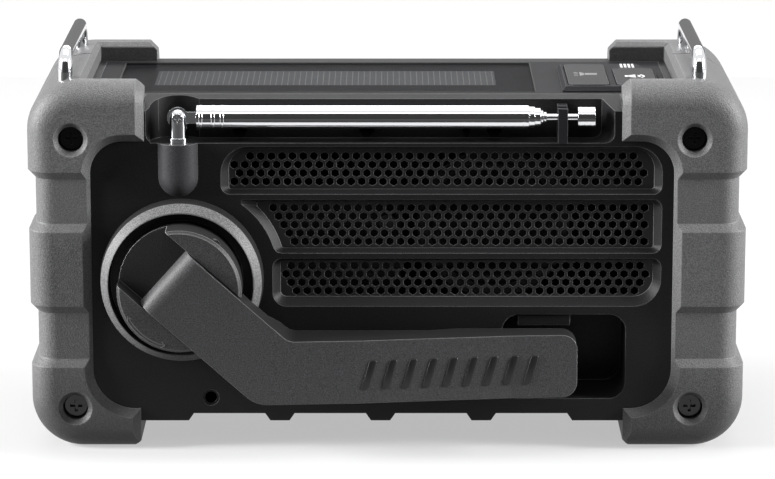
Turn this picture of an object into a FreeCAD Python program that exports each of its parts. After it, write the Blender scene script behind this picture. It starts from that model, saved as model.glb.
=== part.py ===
import FreeCAD, Part
import math
import os
import re
import Sketcher

# Portable digital radio with a folding hand crank, a lifting telescopic antenna and a solar top.
# X runs to the right and Z up as one looks at the crank side, Y runs into the radio.
# The origin is on the ground under the middle of the whole radio.

# Driving sizes in millimetres, angles in degrees
SIZES = {
    # how far a cutting shape runs past the face it opens, and across the crank
    "overshoot": 1.0,
    "crank_span": 30.0,
    # whole radio
    "overall_width": 210.0,
    "overall_height": 109.9,
    "depth_behind_face": 80.0,
    "crank_reach": 19.0,
    # housing
    "bumper_side": 5.5,
    "housing_bottom": 8.3,
    "bumper_top": 5.7,
    "split_depth": 38.0,
    "rear_bumper_proud": 8.0,
    "wall": 2.4,
    "housing_corner": 9.0,
    "notch_depth": 2.2,
    "notch_width": 25.4,
    "notch_pitch": 29.7,
    "notch_first": -46.6,
    "notch_count": 4,
    "notch_slope": 2.2,
    "top_slope_drop": 0.9,
    # rubber bumpers
    "bumper_proud": 2.6,
    "left_frame_width": 18.5,
    "right_frame_width": 21.6,
    "left_arm_reach": 34.3,
    "right_arm_reach": 36.9,
    "left_foot_reach": 32.3,
    "right_foot_reach": 35.6,
    "bottom_arm_top": 12.1,
    "top_arm_height": 17.7,
    "outer_corner": 15.0,
    "low_inner_corner": 12.0,
    "high_inner_corner": 9.5,
    "bumper_bevel": 2.4,
    "bumper_edge_round": 7.0,
    "tip_bevel": 2.3,
    "front_arm_depth": 6.0,
    "rear_arm_depth": 12.0,
    "gap_inset": 1.7,
    "gap_bevel": 1.5,
    "gap_corner": 1.0,
    "seam_depth": 47.4,
    "seam_width": 1.4,
    "seam_sink": 0.5,
    "recess_depth": 2.2,
    "recess_dip": 1.4,
    "upper_recess_height": 13.2,
    "upper_recess_drop": 28.8,
    "lower_recess_low": 27.3,
    "lower_recess_high": 41.1,
    "recess_ramp": 4.6,
    # bumper screws
    "screw_inset": 13.1,
    "right_screw_inset": 15.9,
    "low_screw_height": 12.6,
    "high_screw_inset": 16.9,
    "countersink_radius": 5.0,
    "screw_hole_radius": 3.7,
    "screw_head_radius": 3.3,
    "screw_head_height": 2.0,
    "screw_shank_radius": 1.4,
    "screw_length": 12.0,
    "screw_seat_depth": 3.0,
    "screw_boss_radius": 5.5,
    "screw_boss_length": 20.0,
    "screw_socket": 1.2,
    "cross_half_length": 1.8,
    "cross_half_width": 0.45,
    # strap bars
    "strap_left_inset": 11.3,
    "strap_right_inset": 14.35,
    "strap_front_depth": 6.4,
    "strap_rear_inset": 4.0,
    "strap_rise": 8.8,
    "strap_bar_radius": 2.05,
    "strap_bend": 5.0,
    "strap_seat": 10.0,
    # crank
    "crank_inset": 39.4,
    "crank_rise": 23.9,
    "crank_angle": 41.8,
    "bezel_wall": 1.4,
    "bezel_taper": 0.45,
    "bezel_band_height": 5.5,
    "bezel_height": 8.5,
    "bezel_foot_height": 1.2,
    "bezel_gap": 0.3,
    "drum_lip": 2.8,
    "drum_flange_top": 3.0,
    "drum_radius": 18.0,
    "drum_below_arm": 1.4,
    "drum_back": 4.0,
    "drum_bevel": 0.8,
    "slot_rise": 0.4,
    "arm_width": 20.4,
    "arm_gap": 0.35,
    "hinge_offset": 1.3,
    "hinge_pin_radius": 1.25,
    "pin_inset": 1.2,
    "running_gap": 0.05,
    "arm_floor_gap": 0.3,
    "arm_rim_radius": 4.9,
    "arm_outer_bend": 9.0,
    "arm_inner_bend": 5.0,
    "arm_rim_near": 4.4,
    "arm_rim_far": 2.0,
    "arm_rim_ramp": 8.0,
    "arm_hub_ramp": 5.0,
    "arm_step_gap": 0.8,
    "arm_far_length": 42.8,
    "pocket_below": 12.4,
    "handle_height": 18.7,
    "arm_end_gap": 14.6,
    "arm_end_proud": 10.0,
    "arm_grip_proud": 11.2,
    "arm_grip_length": 19.3,
    "arm_elbow_drop": 1.8,
    "arm_elbow_reach": 51.1,
    "arm_corner": 4.4,
    "arm_sharp_corner": 0.3,
    # fold-out crank knob
    "knob_pin_inset": 4.7,
    "knob_radius": 2.9,
    "knob_start": 3.2,
    "knob_reach": 16.6,
    "knob_axle_radius": 1.2,
    "knob_pin_radius": 0.9,
    "knob_channel_gap": 0.35,
    "knob_eye_gap": 0.25,
    "knob_disc": 0.8,
    # crank pocket
    "pocket_width": 36.3,
    "pocket_inset": 29.6,
    "pocket_lift": 6.7,
    "pocket_above": 13.1,
    "pocket_depth": 22.0,
    "pocket_corner": 5.0,
    "pocket_wall": 1.6,
    "catch_inset": 4.7,
    "catch_width": 15.3,
    "catch_drop": 3.4,
    "catch_start": 0.6,
    "catch_depth": 17.0,
    # gear train
    "gear_module": 0.75,
    "tooth_root": 1.25,
    "tooth_tip": 0.85,
    "tooth_root_width": 0.56,
    "tooth_tip_width": 0.22,
    "drive_teeth": 56,
    "idler_pinion_teeth": 14,
    "idler_wheel_teeth": 48,
    "rotor_teeth": 12,
    "drive_gear_gap": 3.0,
    "drive_gear_width": 4.0,
    "idler_wheel_gap": 1.0,
    "idler_wheel_width": 3.0,
    "crank_shaft_radius": 3.0,
    "idler_shaft_radius": 1.5,
    "rotor_shaft_radius": 1.0,
    "front_plate_depth": 10.0,
    "rear_plate_gap": 2.0,
    "gear_plate_thickness": 2.0,
    "gear_plate_reach": 27.9,
    "gear_plate_margin": 2.35,
    "gear_plate_half_height": 20.0,
    "plate_post_radius": 2.4,
    "plate_post_inset": 4.0,
    "dynamo_radius": 13.0,
    "dynamo_length": 14.0,
    "dynamo_wall": 1.4,
    "rotor_gap": 0.6,
    "gear_overlap": 0.5,
    # telescopic antenna
    "antenna_inset": 9.3,
    "antenna_lift_height": 7.2,
    "antenna_depth": 2.2,
    "mast_radius": 3.5,
    "mast_start": 5.5,
    "rod_reach": 14.3,
    "mast_count": 3,
    "section_step": 1.7,
    "plug_length": 4.0,
    "rod_guide_length": 8.0,
    "section_wall": 0.34,
    "section_gap": 0.05,
    "rod_radius": 1.0,
    "tip_gap": 5.6,
    "cap_radius": 3.0,
    "cap_length": 5.0,
    "ear_gap": 0.3,
    "knuckle_thickness": 1.6,
    "knuckle_radius": 3.1,
    "tang_half_height": 1.7,
    "post_radius": 2.6,
    "post_flange_radius": 3.1,
    "post_flange_height": 1.3,
    "antenna_pin_radius": 1.0,
    "antenna_head_radius": 1.5,
    "antenna_head_height": 0.35,
    "antenna_head_sink": 0.55,
    "head_slot_half_length": 1.0,
    "head_slot_half_width": 0.18,
    "head_slot_depth": 0.4,
    # antenna trough and its boss
    "trough_left_gap": 0.5,
    "trough_right_gap": 2.2,
    "trough_height": 12.5,
    "trough_depth": 8.0,
    "trough_wall": 1.4,
    "trough_ramp": 3.3,
    "trough_corner": 2.6,
    "boss_radius": 6.1,
    "boss_gap": 0.3,
    "swivel_clear_radius": 8.3,
    "clip_inset": 4.4,
    "clip_width": 2.8,
    "clip_rise": 3.0,
    "clip_prong": 1.5,
    "clip_front_proud": 0.9,
    "clip_gap": 0.5,
    # grille bands
    "band_right_gap": 3.4,
    "band_side_inset": 2.3,
    "band_edge_inset": 1.15,
    "band_foot_inset": 2.6,
    "band_one_inset": 11.6,
    "band_one_height": 14.1,
    "band_top_gap": 1.1,
    "band_two_gap": 4.4,
    "band_rib": 1.6,
    "band_three_gap": 2.6,
    "band_foot_gap": 2.4,
    "band_three_height": 14.4,
    "band_big_corner": 8.0,
    "band_small_corner": 2.6,
    "band_corner_share": 0.8,
    "band_foot_corner": 4.0,
    "band_bulge_share": 0.9,
    "band_point_corner": 0.6,
    "band_point_drop": 1.3,
    "grille_thickness": 1.2,
    "grille_lap": 1.5,
    "grille_right_lap": 2.5,
    "grille_foot_lap": 0.4,
    "grille_top_gap": 0.2,
    "grille_crank_gap": 2.0,
    "mesh_pitch": 3.1,
    "mesh_row_pitch": 2.52,
    "mesh_hole": 1.3,
    "mesh_rim": 0.2,
    # speaker
    "speaker_gap": 4.7,
    "speaker_lift": 0.2,
    "speaker_edge_gap": 1.8,
    "speaker_flange": 1.6,
    "speaker_depth": 12.0,
    "magnet_radius": 13.0,
    "magnet_depth": 8.0,
    "cone_inset": 4.3,
    "cone_seat": 0.6,
    "cone_thickness": 0.7,
    "surround_width": 3.0,
    "surround_height": 0.9,
    "surround_crest": 0.2,
    "cap_depth": 2.2,
    "coil_depth": 9.0,
    "voice_coil_radius": 4.0,
    "coil_gap": 0.4,
    "pole_length": 2.5,
    "basket_wall": 1.0,
    # top panel, solar cells and keypad
    "panel_front": 11.3,
    "panel_rear_gap": 1.5,
    "panel_side_gap": 0.5,
    "panel_thickness": 2.4,
    "solar_left_inset": 6.0,
    "solar_key_gap": 9.8,
    "solar_front_inset": 2.6,
    "solar_rear_inset": 2.7,
    "glass_thickness": 0.8,
    "cell_thickness": 0.6,
    "cell_left_inset": 10.8,
    "cell_right_inset": 11.3,
    "cell_front_inset": 16.0,
    "cell_rear_inset": 10.0,
    "key_rise": 1.9,
    "key_travel": 0.6,
    "key_gap": 0.25,
    "key_flange_gap": 0.3,
    "key_flange_thickness": 1.0,
    "key_flange_reach": 0.9,
    "key_stop_gap": 0.5,
    "key_board_thickness": 1.2,
    "key_board_margin": 4.0,
    "key_board_edge": 0.8,
    "key_post_radius": 1.5,
    "key_post_inset": 1.8,
    "frame_rise": 1.6,
    "frame_bevel": 1.1,
    "frame_margin": 2.0,
    "frame_edge": 1.6,
    "frame_cut_width": 5.0,
    "frame_cut_length": 6.0,
    "torch_key_width": 12.0,
    "key_spacing": 2.2,
    "key_front_inset": 4.7,
    "torch_key_rear_inset": 15.5,
    "call_key_width": 12.0,
    "call_key_inset": 3.4,
    "call_key_rear_inset": 22.5,
    "lamp_inset": 2.85,
    "lamp_count": 4,
    "lamp_width": 0.65,
    "lamp_pitch": 1.15,
    "lamp_rise": 1.8,
    "lamp_gap": 2.0,
    "lamp_length": 6.0,
    "key_corner": 2.5,
    # display side
    "window_inset": 35.5,
    "window_width": 68.0,
    "window_height": 38.0,
    "window_drop": 17.5,
    "window_thickness": 1.2,
    "window_corner": 3.0,
    "display_thickness": 4.5,
    "display_inset": 4.0,
    "display_foot_radius": 1.6,
    "small_key_width": 10.0,
    "small_key_height": 6.6,
    "small_key_pitch": 14.4,
    "small_key_inset": 5.2,
    "small_key_drop": 15.0,
    "small_key_proud": 1.6,
    "small_key_travel": 0.7,
    "small_key_stem": 4.0,
    "switch_height": 3.5,
    "switch_width": 6.0,
    "dial_inset": 51.5,
    "dial_lift": 12.0,
    "dial_radius": 17.0,
    "dial_proud": 7.0,
    "dial_shaft_radius": 3.0,
    "dial_bushing_radius": 4.5,
    "dial_gap": 0.3,
    "dial_skirt": 0.8,
    "dimple_offset": 9.4,
    "dimple_radius": 3.4,
    "dimple_depth": 0.8,
    "encoder_width": 13.0,
    "encoder_height": 7.0,
    "encoder_floor": 1.0,
    # boards and battery
    "board_setback": 16.0,
    "board_thickness": 1.6,
    "board_left_inset": 15.5,
    "board_right_inset": 17.5,
    "board_low_gap": 7.4,
    "board_high_gap": 9.5,
    "board_post_radius": 3.0,
    "board_post_inset": 5.0,
    "cell_body_radius": 9.0,
    "cell_body_length": 65.0,
    "cell_tip_radius": 3.0,
    "cell_tip_length": 1.0,
    "holder_gap": 1.0,
    "holder_wall": 1.5,
    "holder_lip": 1.0,
    # small sockets and lamp
    "jack_reach": 8.1,
    "jack_lift": 2.4,
    "jack_hole_radius": 2.35,
    "jack_bore_radius": 1.75,
    "jack_length": 12.0,
    "jack_inset": 0.4,
    "jack_end": 1.0,
    "jack_body_radius": 2.9,
    "cover_low": 30.0,
    "cover_high": 71.0,
    "cover_front": 22.0,
    "cover_rear": 58.0,
    "cover_thickness": 1.6,
    "cover_gap": 0.35,
    "cover_lip": 0.8,
    "cover_lip_height": 3.0,
    "cover_pin_end": 2.0,
    "cover_hinge_radius": 1.1,
    "cover_pin_radius": 0.6,
    "cover_standoff": 2.2,
    "socket_width": 9.4,
    "socket_height": 3.6,
    "socket_body": 8.0,
    "socket_wall": 0.4,
    "socket_inset": 12.0,
    "socket_count": 2,
    "socket_pitch": 16.0,
    "torch_z": 52.0,
    "torch_setback": 18.0,
    "torch_radius": 10.0,
    "torch_rim": 2.0,
    "torch_foot_radius": 3.5,
    "torch_wall": 1.0,
    "lamp_radius": 1.5,
    "torch_reflector_length": 12.0,
}

# Sizes that follow from the driving ones
FOLLOWING = {
    # housing
    "housing_half_width": "overall_width / 2 - bumper_side",
    "housing_top": "overall_height - bumper_top",
    "display_face_depth": "depth_behind_face - rear_bumper_proud",
    # rubber bumpers
    "left_frame_edge": "overall_width / 2 - left_frame_width",
    "right_frame_edge": "overall_width / 2 - right_frame_width",
    "left_arm_end": "overall_width / 2 - left_arm_reach",
    "right_arm_end": "overall_width / 2 - right_arm_reach",
    "left_foot_end": "overall_width / 2 - left_foot_reach",
    "right_foot_end": "overall_width / 2 - right_foot_reach",
    "top_arm_bottom": "overall_height - top_arm_height",
    "rear_arm_start": "depth_behind_face - rear_arm_depth",
    "upper_recess_low": "upper_recess_high - upper_recess_height",
    "upper_recess_high": "overall_height - upper_recess_drop",
    # bumper screws
    "high_screw_height": "overall_height - high_screw_inset",
    # strap bars
    "strap_left": "overall_width / 2 - strap_left_inset",
    "strap_right": "overall_width / 2 - strap_right_inset",
    "strap_rear_depth": "rear_arm_start - strap_rear_inset",
    "strap_top": "overall_height + strap_rise",
    "strap_foot": "overall_height - strap_seat",
    # crank
    "crank_x": "crank_inset - housing_half_width",
    "crank_z": "handle_mid + crank_rise",
    "bezel_base_radius": "bezel_spigot_radius + bezel_wall",
    "bezel_band_radius": "bezel_base_radius - bezel_taper",
    "bezel_inner_radius": "drum_flange_radius + bezel_gap",
    "bezel_spigot_radius": "bezel_inner_radius + bezel_wall",
    "drum_flange_radius": "drum_radius + drum_lip",
    "drum_height": "crank_reach - drum_below_arm",
    "slot_floor": "bezel_height + slot_rise",
    "hinge_height": "crank_reach - arm_rim_radius",
    "arm_rim_hub": "slot_floor + arm_floor_gap",
    "arm_step": "bezel_base_radius + arm_step_gap",
    "arm_far_start": "arm_end - arm_far_length",
    "handle_mid": "pocket_bottom + pocket_below",
    "arm_end": "pocket_right - arm_end_gap",
    "arm_grip_at": "arm_end - arm_grip_length",
    "arm_elbow_proud": "crank_reach - arm_elbow_drop",
    "arm_elbow_at": "crank_x + arm_elbow_reach",
    # fold-out crank knob
    "knob_pin_x": "arm_end - knob_pin_inset",
    # crank pocket
    "pocket_left": "pocket_right - pocket_width",
    "pocket_right": "housing_half_width - pocket_inset",
    "pocket_bottom": "housing_bottom + pocket_lift",
    "pocket_top": "handle_mid + pocket_above",
    "catch_left": "pocket_left + catch_inset",
    "catch_right": "catch_left + catch_width",
    # gear train
    "drive_gear_depth": "front_plate_depth + gear_plate_thickness + drive_gear_gap",
    "idler_wheel_depth": "drive_gear_depth + drive_gear_width + idler_wheel_gap",
    "rear_plate_depth": "idler_wheel_depth + idler_wheel_width + rear_plate_gap",
    "gear_plate_left": "crank_x - gear_plate_reach",
    "idler_x": "crank_x + gear_module * (drive_teeth + idler_pinion_teeth) / 2",
    "rotor_x": "idler_x + gear_module * (idler_wheel_teeth + rotor_teeth) / 2",
    "gear_plate_right": "rotor_x + dynamo_radius + gear_plate_margin",
    # telescopic antenna
    "antenna_x": "trough_left + antenna_inset",
    "antenna_z": "trough_floor + antenna_lift_height",
    "mast_end": "rod_end - rod_reach",
    "rod_end": "trough_right - antenna_x - tip_gap - cap_length",
    # antenna trough and its boss
    "trough_left": "trough_left_gap - left_arm_end",
    "trough_right": "right_arm_end - trough_right_gap",
    "trough_floor": "housing_top - trough_height",
    "boss_bottom": "crank_z + bezel_base_radius + boss_gap",
    "clip_x": "antenna_x + rod_end - clip_inset",
    "clip_top": "antenna_z + clip_rise",
    # grille bands
    "band_right": "right_frame_edge - band_right_gap",
    "band_one_left": "crank_x + band_one_inset",
    "band_one_low": "band_one_high - band_one_height",
    "band_one_high": "trough_floor - band_top_gap",
    "band_two_arc": "bezel_base_radius + band_two_gap",
    "band_two_low": "band_three_high + band_rib",
    "band_two_high": "band_one_low - band_rib",
    "band_three_left": "crank_x + bezel_base_radius + band_three_gap",
    "band_three_low": "pocket_top + band_foot_gap",
    "band_three_high": "band_three_low + band_three_height",
    "grille_left": "band_one_left - grille_lap",
    "grille_right": "band_right + grille_right_lap",
    "grille_low": "band_three_low + grille_foot_lap",
    "grille_high": "trough_floor - trough_wall - grille_top_gap",
    # speaker
    "speaker_x": "gear_plate_right + speaker_gap + speaker_radius",
    "speaker_z": "(band_two_low + band_two_high) / 2 + speaker_lift",
    "speaker_radius": "(trough_floor - trough_wall - pocket_top - pocket_wall) / 2 - speaker_edge_gap",
    "cone_radius": "speaker_radius - cone_inset",
    # top panel, solar cells and keypad
    "panel_rear": "rear_arm_start - panel_rear_gap",
    "panel_left": "panel_side_gap - left_frame_edge",
    "panel_right": "right_frame_edge - panel_side_gap",
    "solar_left": "panel_left + solar_left_inset",
    "solar_right": "torch_key_left - solar_key_gap",
    "solar_front": "panel_front + solar_front_inset",
    "solar_rear": "panel_rear - solar_rear_inset",
    "cell_left": "solar_left + cell_left_inset",
    "cell_right": "solar_right - cell_right_inset",
    "cell_front": "solar_front + cell_front_inset",
    "cell_rear": "solar_rear - cell_rear_inset",
    "torch_key_left": "torch_key_right - torch_key_width",
    "torch_key_right": "call_key_left - key_spacing",
    "torch_key_front": "panel_front + key_front_inset",
    "torch_key_rear": "panel_rear - torch_key_rear_inset",
    "call_key_left": "call_key_right - call_key_width",
    "call_key_right": "panel_right - call_key_inset",
    "call_key_front": "torch_key_front",
    "call_key_rear": "panel_rear - call_key_rear_inset",
    "lamp_strip_x": "call_key_left + lamp_inset",
    "lamp_strip_front": "call_key_rear + lamp_gap",
    "lamp_strip_rear": "lamp_strip_front + lamp_length",
    # display side
    "window_left": "window_inset - housing_half_width",
    "window_right": "window_left + window_width",
    "window_low": "window_high - window_height",
    "window_high": "housing_top - window_drop",
    "small_key_first": "window_left + small_key_inset",
    "small_key_z": "window_low - small_key_drop",
    "knob_dial_x": "housing_half_width - dial_inset",
    "knob_dial_z": "window_low + dial_lift",
    # boards and battery
    "board_depth": "display_face_depth - board_setback",
    "board_left": "board_left_inset - housing_half_width",
    "board_right": "housing_half_width - board_right_inset",
    "board_low": "housing_bottom + board_low_gap",
    "board_high": "housing_top - board_high_gap",
    "cell_axis_z": "housing_bottom + notch_depth + wall + cell_body_radius",
    "cell_axis_depth": "board_depth - cell_body_radius - holder_wall - holder_gap",
    "holder_length": "cell_body_length + cell_tip_length + 2 * holder_wall",
    "holder_left": "pocket_left - pocket_wall - holder_gap - holder_length",
    # small sockets and lamp
    "jack_x": "crank_x + jack_reach",
    "jack_z": "housing_bottom + notch_depth + wall + jack_lift",
    "torch_depth": "display_face_depth - torch_setback",
}

doc = FreeCAD.newDocument("portable_radio")
sheet = doc.addObject("Spreadsheet::Sheet", "sizes")
for row, (alias, number) in enumerate(SIZES.items(), start=1):
    sheet.set(f"A{row}", alias.replace("_", " "))
    sheet.set(f"B{row}", str(number))
    sheet.setAlias(f"B{row}", alias)
doc.recompute()

ALIAS = re.compile(r"\b(" + "|".join(sorted(SIZES, key=len, reverse=True)) + r")\b")
FOLLOWER = re.compile(r"\b(" + "|".join(sorted(FOLLOWING, key=len, reverse=True)) + r")\b")
PIECES = {}

# Planes and lines that many pieces share
FACE = "((crank_reach - depth_behind_face) / 2)"
SPLIT = f"({FACE} + split_depth)"
DISPLAY_FACE = f"({FACE} + display_face_depth)"
FRONT = f"({FACE} - bumper_proud)"
REAR = f"({FACE} + depth_behind_face)"


def sized(expression):
    """The expression with every size name pointing into the sheet."""
    text = str(expression)
    while FOLLOWER.search(text):
        text = FOLLOWER.sub(lambda name: f"({FOLLOWING[name[1]]})", text)
    return ALIAS.sub(r"sizes.\1", text)


def value(expression):
    """The number that an expression has now."""
    return float(sheet.evalExpression(sized(expression)))


def behind(depth):
    """Y of a plane so far behind the crank-side face; a negative depth stands proud of it."""
    return f"({FACE} + ({depth}))"


def bind(thing, **expressions):
    """Tie properties to expressions; x, y and z are the place."""
    for name, expression in expressions.items():
        path = f"Placement.Base.{name}" if name in ("x", "y", "z") else name
        thing.setExpression(path, sized(expression))
    return thing


def piece(label, thing):
    """Name a finished sub-part."""
    thing.Label = label
    PIECES[label] = thing
    return thing


# Plain solids

def block(x, y, z):
    """A box from three pairs of low and high expressions."""
    made = doc.addObject("Part::Box", "block")
    bind(made, x=x[0], y=y[0], z=z[0])
    return bind(made, Length=f"{x[1]} - ({x[0]})", Width=f"{y[1]} - ({y[0]})", Height=f"{z[1]} - ({z[0]})")


TURNS = {
    "x": FreeCAD.Rotation(FreeCAD.Vector(0, 1, 0), 90),
    "y": FreeCAD.Rotation(FreeCAD.Vector(1, 0, 0), -90),
    "z": FreeCAD.Rotation(),
}


def place_along(made, axis, across, start):
    """Stand a round solid on an axis; across is its place in the other two directions."""
    made.Placement = FreeCAD.Placement(FreeCAD.Vector(), TURNS[axis])
    rest = [name for name in "xyz" if name != axis]
    return bind(made, **{axis: start, rest[0]: across[0], rest[1]: across[1]})


def rod(axis, across, radius, start, end):
    """A round bar along an axis."""
    made = doc.addObject("Part::Cylinder", "rod")
    bind(made, Radius=radius, Height=f"({end}) - ({start})")
    return place_along(made, axis, across, start)


def taper(axis, across, start_radius, end_radius, start, end):
    """A cone along an axis."""
    made = doc.addObject("Part::Cone", "taper")
    bind(made, Radius1=start_radius, Radius2=end_radius, Height=f"({end}) - ({start})")
    return place_along(made, axis, across, start)


def joined(*solids):
    """One solid from several that touch or overlap."""
    made = doc.addObject("Part::MultiFuse", "joined")
    made.Shapes = list(solids)
    return made


def less(base, *tools):
    """The base with the tools taken away."""
    made = doc.addObject("Part::Cut", "less")
    made.Base = base
    made.Tool = tools[0] if len(tools) == 1 else joined(*tools)
    return made


def shared(base, tool):
    """What two solids have in common."""
    made = doc.addObject("Part::Common", "shared")
    made.Base = base
    made.Tool = tool
    return made


def group(*solids):
    """Several separate solids in one piece."""
    made = doc.addObject("Part::Compound", "group")
    made.Links = list(solids)
    return made


# Sketched solids

def origin_plane(body, role):
    return next(item for item in body.Origin.OriginFeatures if item.Role == role)


def sketch_outline(body, plane, points, offset):
    """A closed outline of straight sides whose corners are tied to expressions."""
    sketch = body.newObject("Sketcher::SketchObject", "outline")
    sketch.AttachmentSupport = [(origin_plane(body, plane), "")]
    sketch.MapMode = "FlatFace"
    sketch.setExpression("AttachmentOffset.Base.z", sized(offset))
    corners = [FreeCAD.Vector(value(u), value(v), 0) for u, v in points]
    count = len(corners)
    for index in range(count):
        sketch.addGeometry(Part.LineSegment(corners[index], corners[(index + 1) % count]), False)
    for index in range(count):
        sketch.addConstraint(Sketcher.Constraint("Coincident", index, 2, (index + 1) % count, 1))
    for index, (u, v) in enumerate(points):
        for kind, expression in (("DistanceX", u), ("DistanceY", v)):
            place = sketch.addConstraint(Sketcher.Constraint(kind, -1, 1, index, 1, value(expression)))
            sketch.setExpression(f"Constraints[{place}]", sized(expression))
    return sketch


def extruded(points, low, high, plane="XZ_Plane"):
    """A body padded from an outline, between two depths across the sketch plane."""
    body = doc.addObject("PartDesign::Body", "body")
    offset = f"0 - ({high})" if plane == "XZ_Plane" else low
    sketch = sketch_outline(body, plane, points, offset)
    pad = body.newObject("PartDesign::Pad", "pad")
    pad.Profile = sketch
    pad.setExpression("Length", sized(f"({high}) - ({low})"))
    doc.recompute()
    return body


def turned(points, axis, across, start):
    """A body of revolution: points are radius and height above start along the axis."""
    body = doc.addObject("PartDesign::Body", "body")
    sketch = sketch_outline(body, "XZ_Plane", points, "0")
    spin = body.newObject("PartDesign::Revolution", "spin")
    spin.Profile = sketch
    spin.ReferenceAxis = (sketch, ["V_Axis"])
    spin.Angle = 360
    doc.recompute()
    return place_along(body, axis, across, start)


def dress(body, kind, size_name, size, test):
    """Fillet or chamfer the edges of a body's last feature that a test picks."""
    base = body.Tip
    names = [f"Edge{index + 1}" for index, edge in enumerate(base.Shape.Edges) if test(edge)]
    feature = body.newObject(f"PartDesign::{kind}", kind.lower())
    feature.Base = (base, names)
    feature.setExpression(size_name, sized(size))
    doc.recompute()
    if not names or "Invalid" in feature.State or feature.Shape.isNull():
        raise RuntimeError(f"{kind} on {body.Name} found {len(names)} edges")
    return body


def rounded(body, radius, test):
    return dress(body, "Fillet", "Radius", radius, test)


def bevelled(body, size, test):
    return dress(body, "Chamfer", "Size", size, test)


def along(axis, x=None, y=None, z=None):
    """A test for straight edges along an axis, at the given places."""
    wanted = [(0, x), (1, y), (2, z)]

    def test(edge):
        box = edge.BoundBox
        spans = {"x": box.XLength, "y": box.YLength, "z": box.ZLength}
        others = [span for name, span in spans.items() if name != axis]
        if spans[axis] < 1e-6 or max(others) > 1e-6:
            return False
        middle = edge.BoundBox.Center
        return all(place is None or min(abs(middle[slot] - spot) for spot in place) < 1e-3
                   for slot, place in wanted)

    return test


def rectangle(x, z):
    return [(x[0], z[0]), (x[1], z[0]), (x[1], z[1]), (x[0], z[1])]


def rounded_block(x, y, z, radius):
    """A box whose four corners are rounded as one looks along Y."""
    body = extruded(rectangle(x, z), y[0], y[1])
    return rounded(body, radius, along("y"))


def rounded_slab(x, y, z, radius):
    """A box whose four corners are rounded as one looks down."""
    body = extruded(rectangle(x, y), z[0], z[1], "XY_Plane")
    return rounded(body, radius, along("z"))


# Shapes whose wires mix lines and arcs, from the sheet's numbers

def rounded_wire(corners, depth):
    """A closed wire in a plane across Y; each corner is x, z and the radius of its arc."""
    count = len(corners)
    edges = []
    marks = []
    for index, (x, z, radius) in enumerate(corners):
        here = FreeCAD.Vector(x, depth, z)
        last, following = corners[index - 1], corners[(index + 1) % count]
        before = FreeCAD.Vector(last[0], depth, last[1]) - here
        after = FreeCAD.Vector(following[0], depth, following[1]) - here
        before.normalize()
        after.normalize()
        half = before.getAngle(after) / 2
        reach = radius / math.tan(half)
        middle = (before + after).normalize()
        apex = here + middle * (radius / math.sin(half) - radius)
        marks.append((here + before * reach, apex, here + after * reach))
    for index, (start, apex, end) in enumerate(marks):
        edges.append(Part.Arc(start, apex, end).toShape())
        edges.append(Part.LineSegment(end, marks[(index + 1) % count][0]).toShape())
    return Part.Wire(edges)


def feature(shape):
    made = doc.addObject("Part::Feature", "shape")
    made.Shape = shape
    return made


def sunk_window(outer, inner, face, back):
    """A window with sloping sides: the outer outline at the face, the inner one at the wall's back."""
    return Part.makeLoft([rounded_wire(outer, face), rounded_wire(inner, back)], True, True)


TORCH = (behind("torch_depth"), "torch_z")


# Rubber bumpers

def bumper(side, label, edge, arm_end, foot_end):
    """A rubber guard round one end; side is -1 on the left and 1 on the right."""
    outer = f"({side} * overall_width / 2)"
    inner = f"({side} * {edge})"
    end = f"({side} * {arm_end})"
    foot = f"({side} * {foot_end})"
    corners = [(outer, "0"), (end, "0"), (end, "bottom_arm_top"), (inner, "bottom_arm_top"),
               (inner, "top_arm_bottom"), (end, "top_arm_bottom"), (end, "overall_height"),
               (outer, "overall_height")]
    body = extruded(corners, FRONT, REAR)
    rounded(body, "outer_corner", along("y", x=[value(outer)]))
    rounded(body, "low_inner_corner", along("y", x=[value(inner)], z=[value("bottom_arm_top")]))
    rounded(body, "high_inner_corner", along("y", x=[value(inner)], z=[value("top_arm_bottom")]))
    faces = [value(FRONT), value(REAR)]
    height = value("overall_height")
    tip = value(end)

    def inside(edge_line):
        """Edges of the two faces that look on to the housing."""
        box = edge_line.BoundBox
        flat = box.YLength < 1e-6 and min(abs(box.YMin - y) for y in faces) < 1e-3
        middle = box.Center
        low = abs(middle.z) < 1e-3 or abs(middle.z - height) < 1e-3
        far = abs(middle.x) > abs(value(inner)) + 1
        at_tip = abs(middle.x - tip) < 1e-3
        return flat and not low and (not far or at_tip)

    def outside(edge_line):
        """Edges of the two faces that run round the outside."""
        box = edge_line.BoundBox
        flat = box.YLength < 1e-6 and min(abs(box.YMin - y) for y in faces) < 1e-3
        middle = box.Center
        low = abs(middle.z) < 1e-3 or abs(middle.z - height) < 1e-3
        far = abs(middle.x) > abs(value(inner)) + 1
        return flat and (low or far)

    rounded(body, "bumper_edge_round", outside)
    bevelled(body, "bumper_bevel", inside)
    housing_end = f"({side} * housing_half_width)"
    across = (housing_end, "0") if side < 0 else ("0", housing_end)
    cuts = [rounded_block(across, (FACE, DISPLAY_FACE), ("housing_bottom", "housing_top"), "housing_corner")]
    cuts += top_gap(side, inner, end) + [side_seam(side, outer)]
    for low, high in (("upper_recess_low", "upper_recess_high"), ("lower_recess_low", "lower_recess_high")):
        cuts.append(recess_ring(side, low, high))
    cuts += [foot_cutter(side, end, foot)] + tip_corners(side, end, foot)
    for height_name in ("low_screw_height", "high_screw_height"):
        cuts += screw_seat(side, height_name)
    cuts += side_window(side) + strap_legs(side)
    return piece(label, less(body, *cuts))


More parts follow.
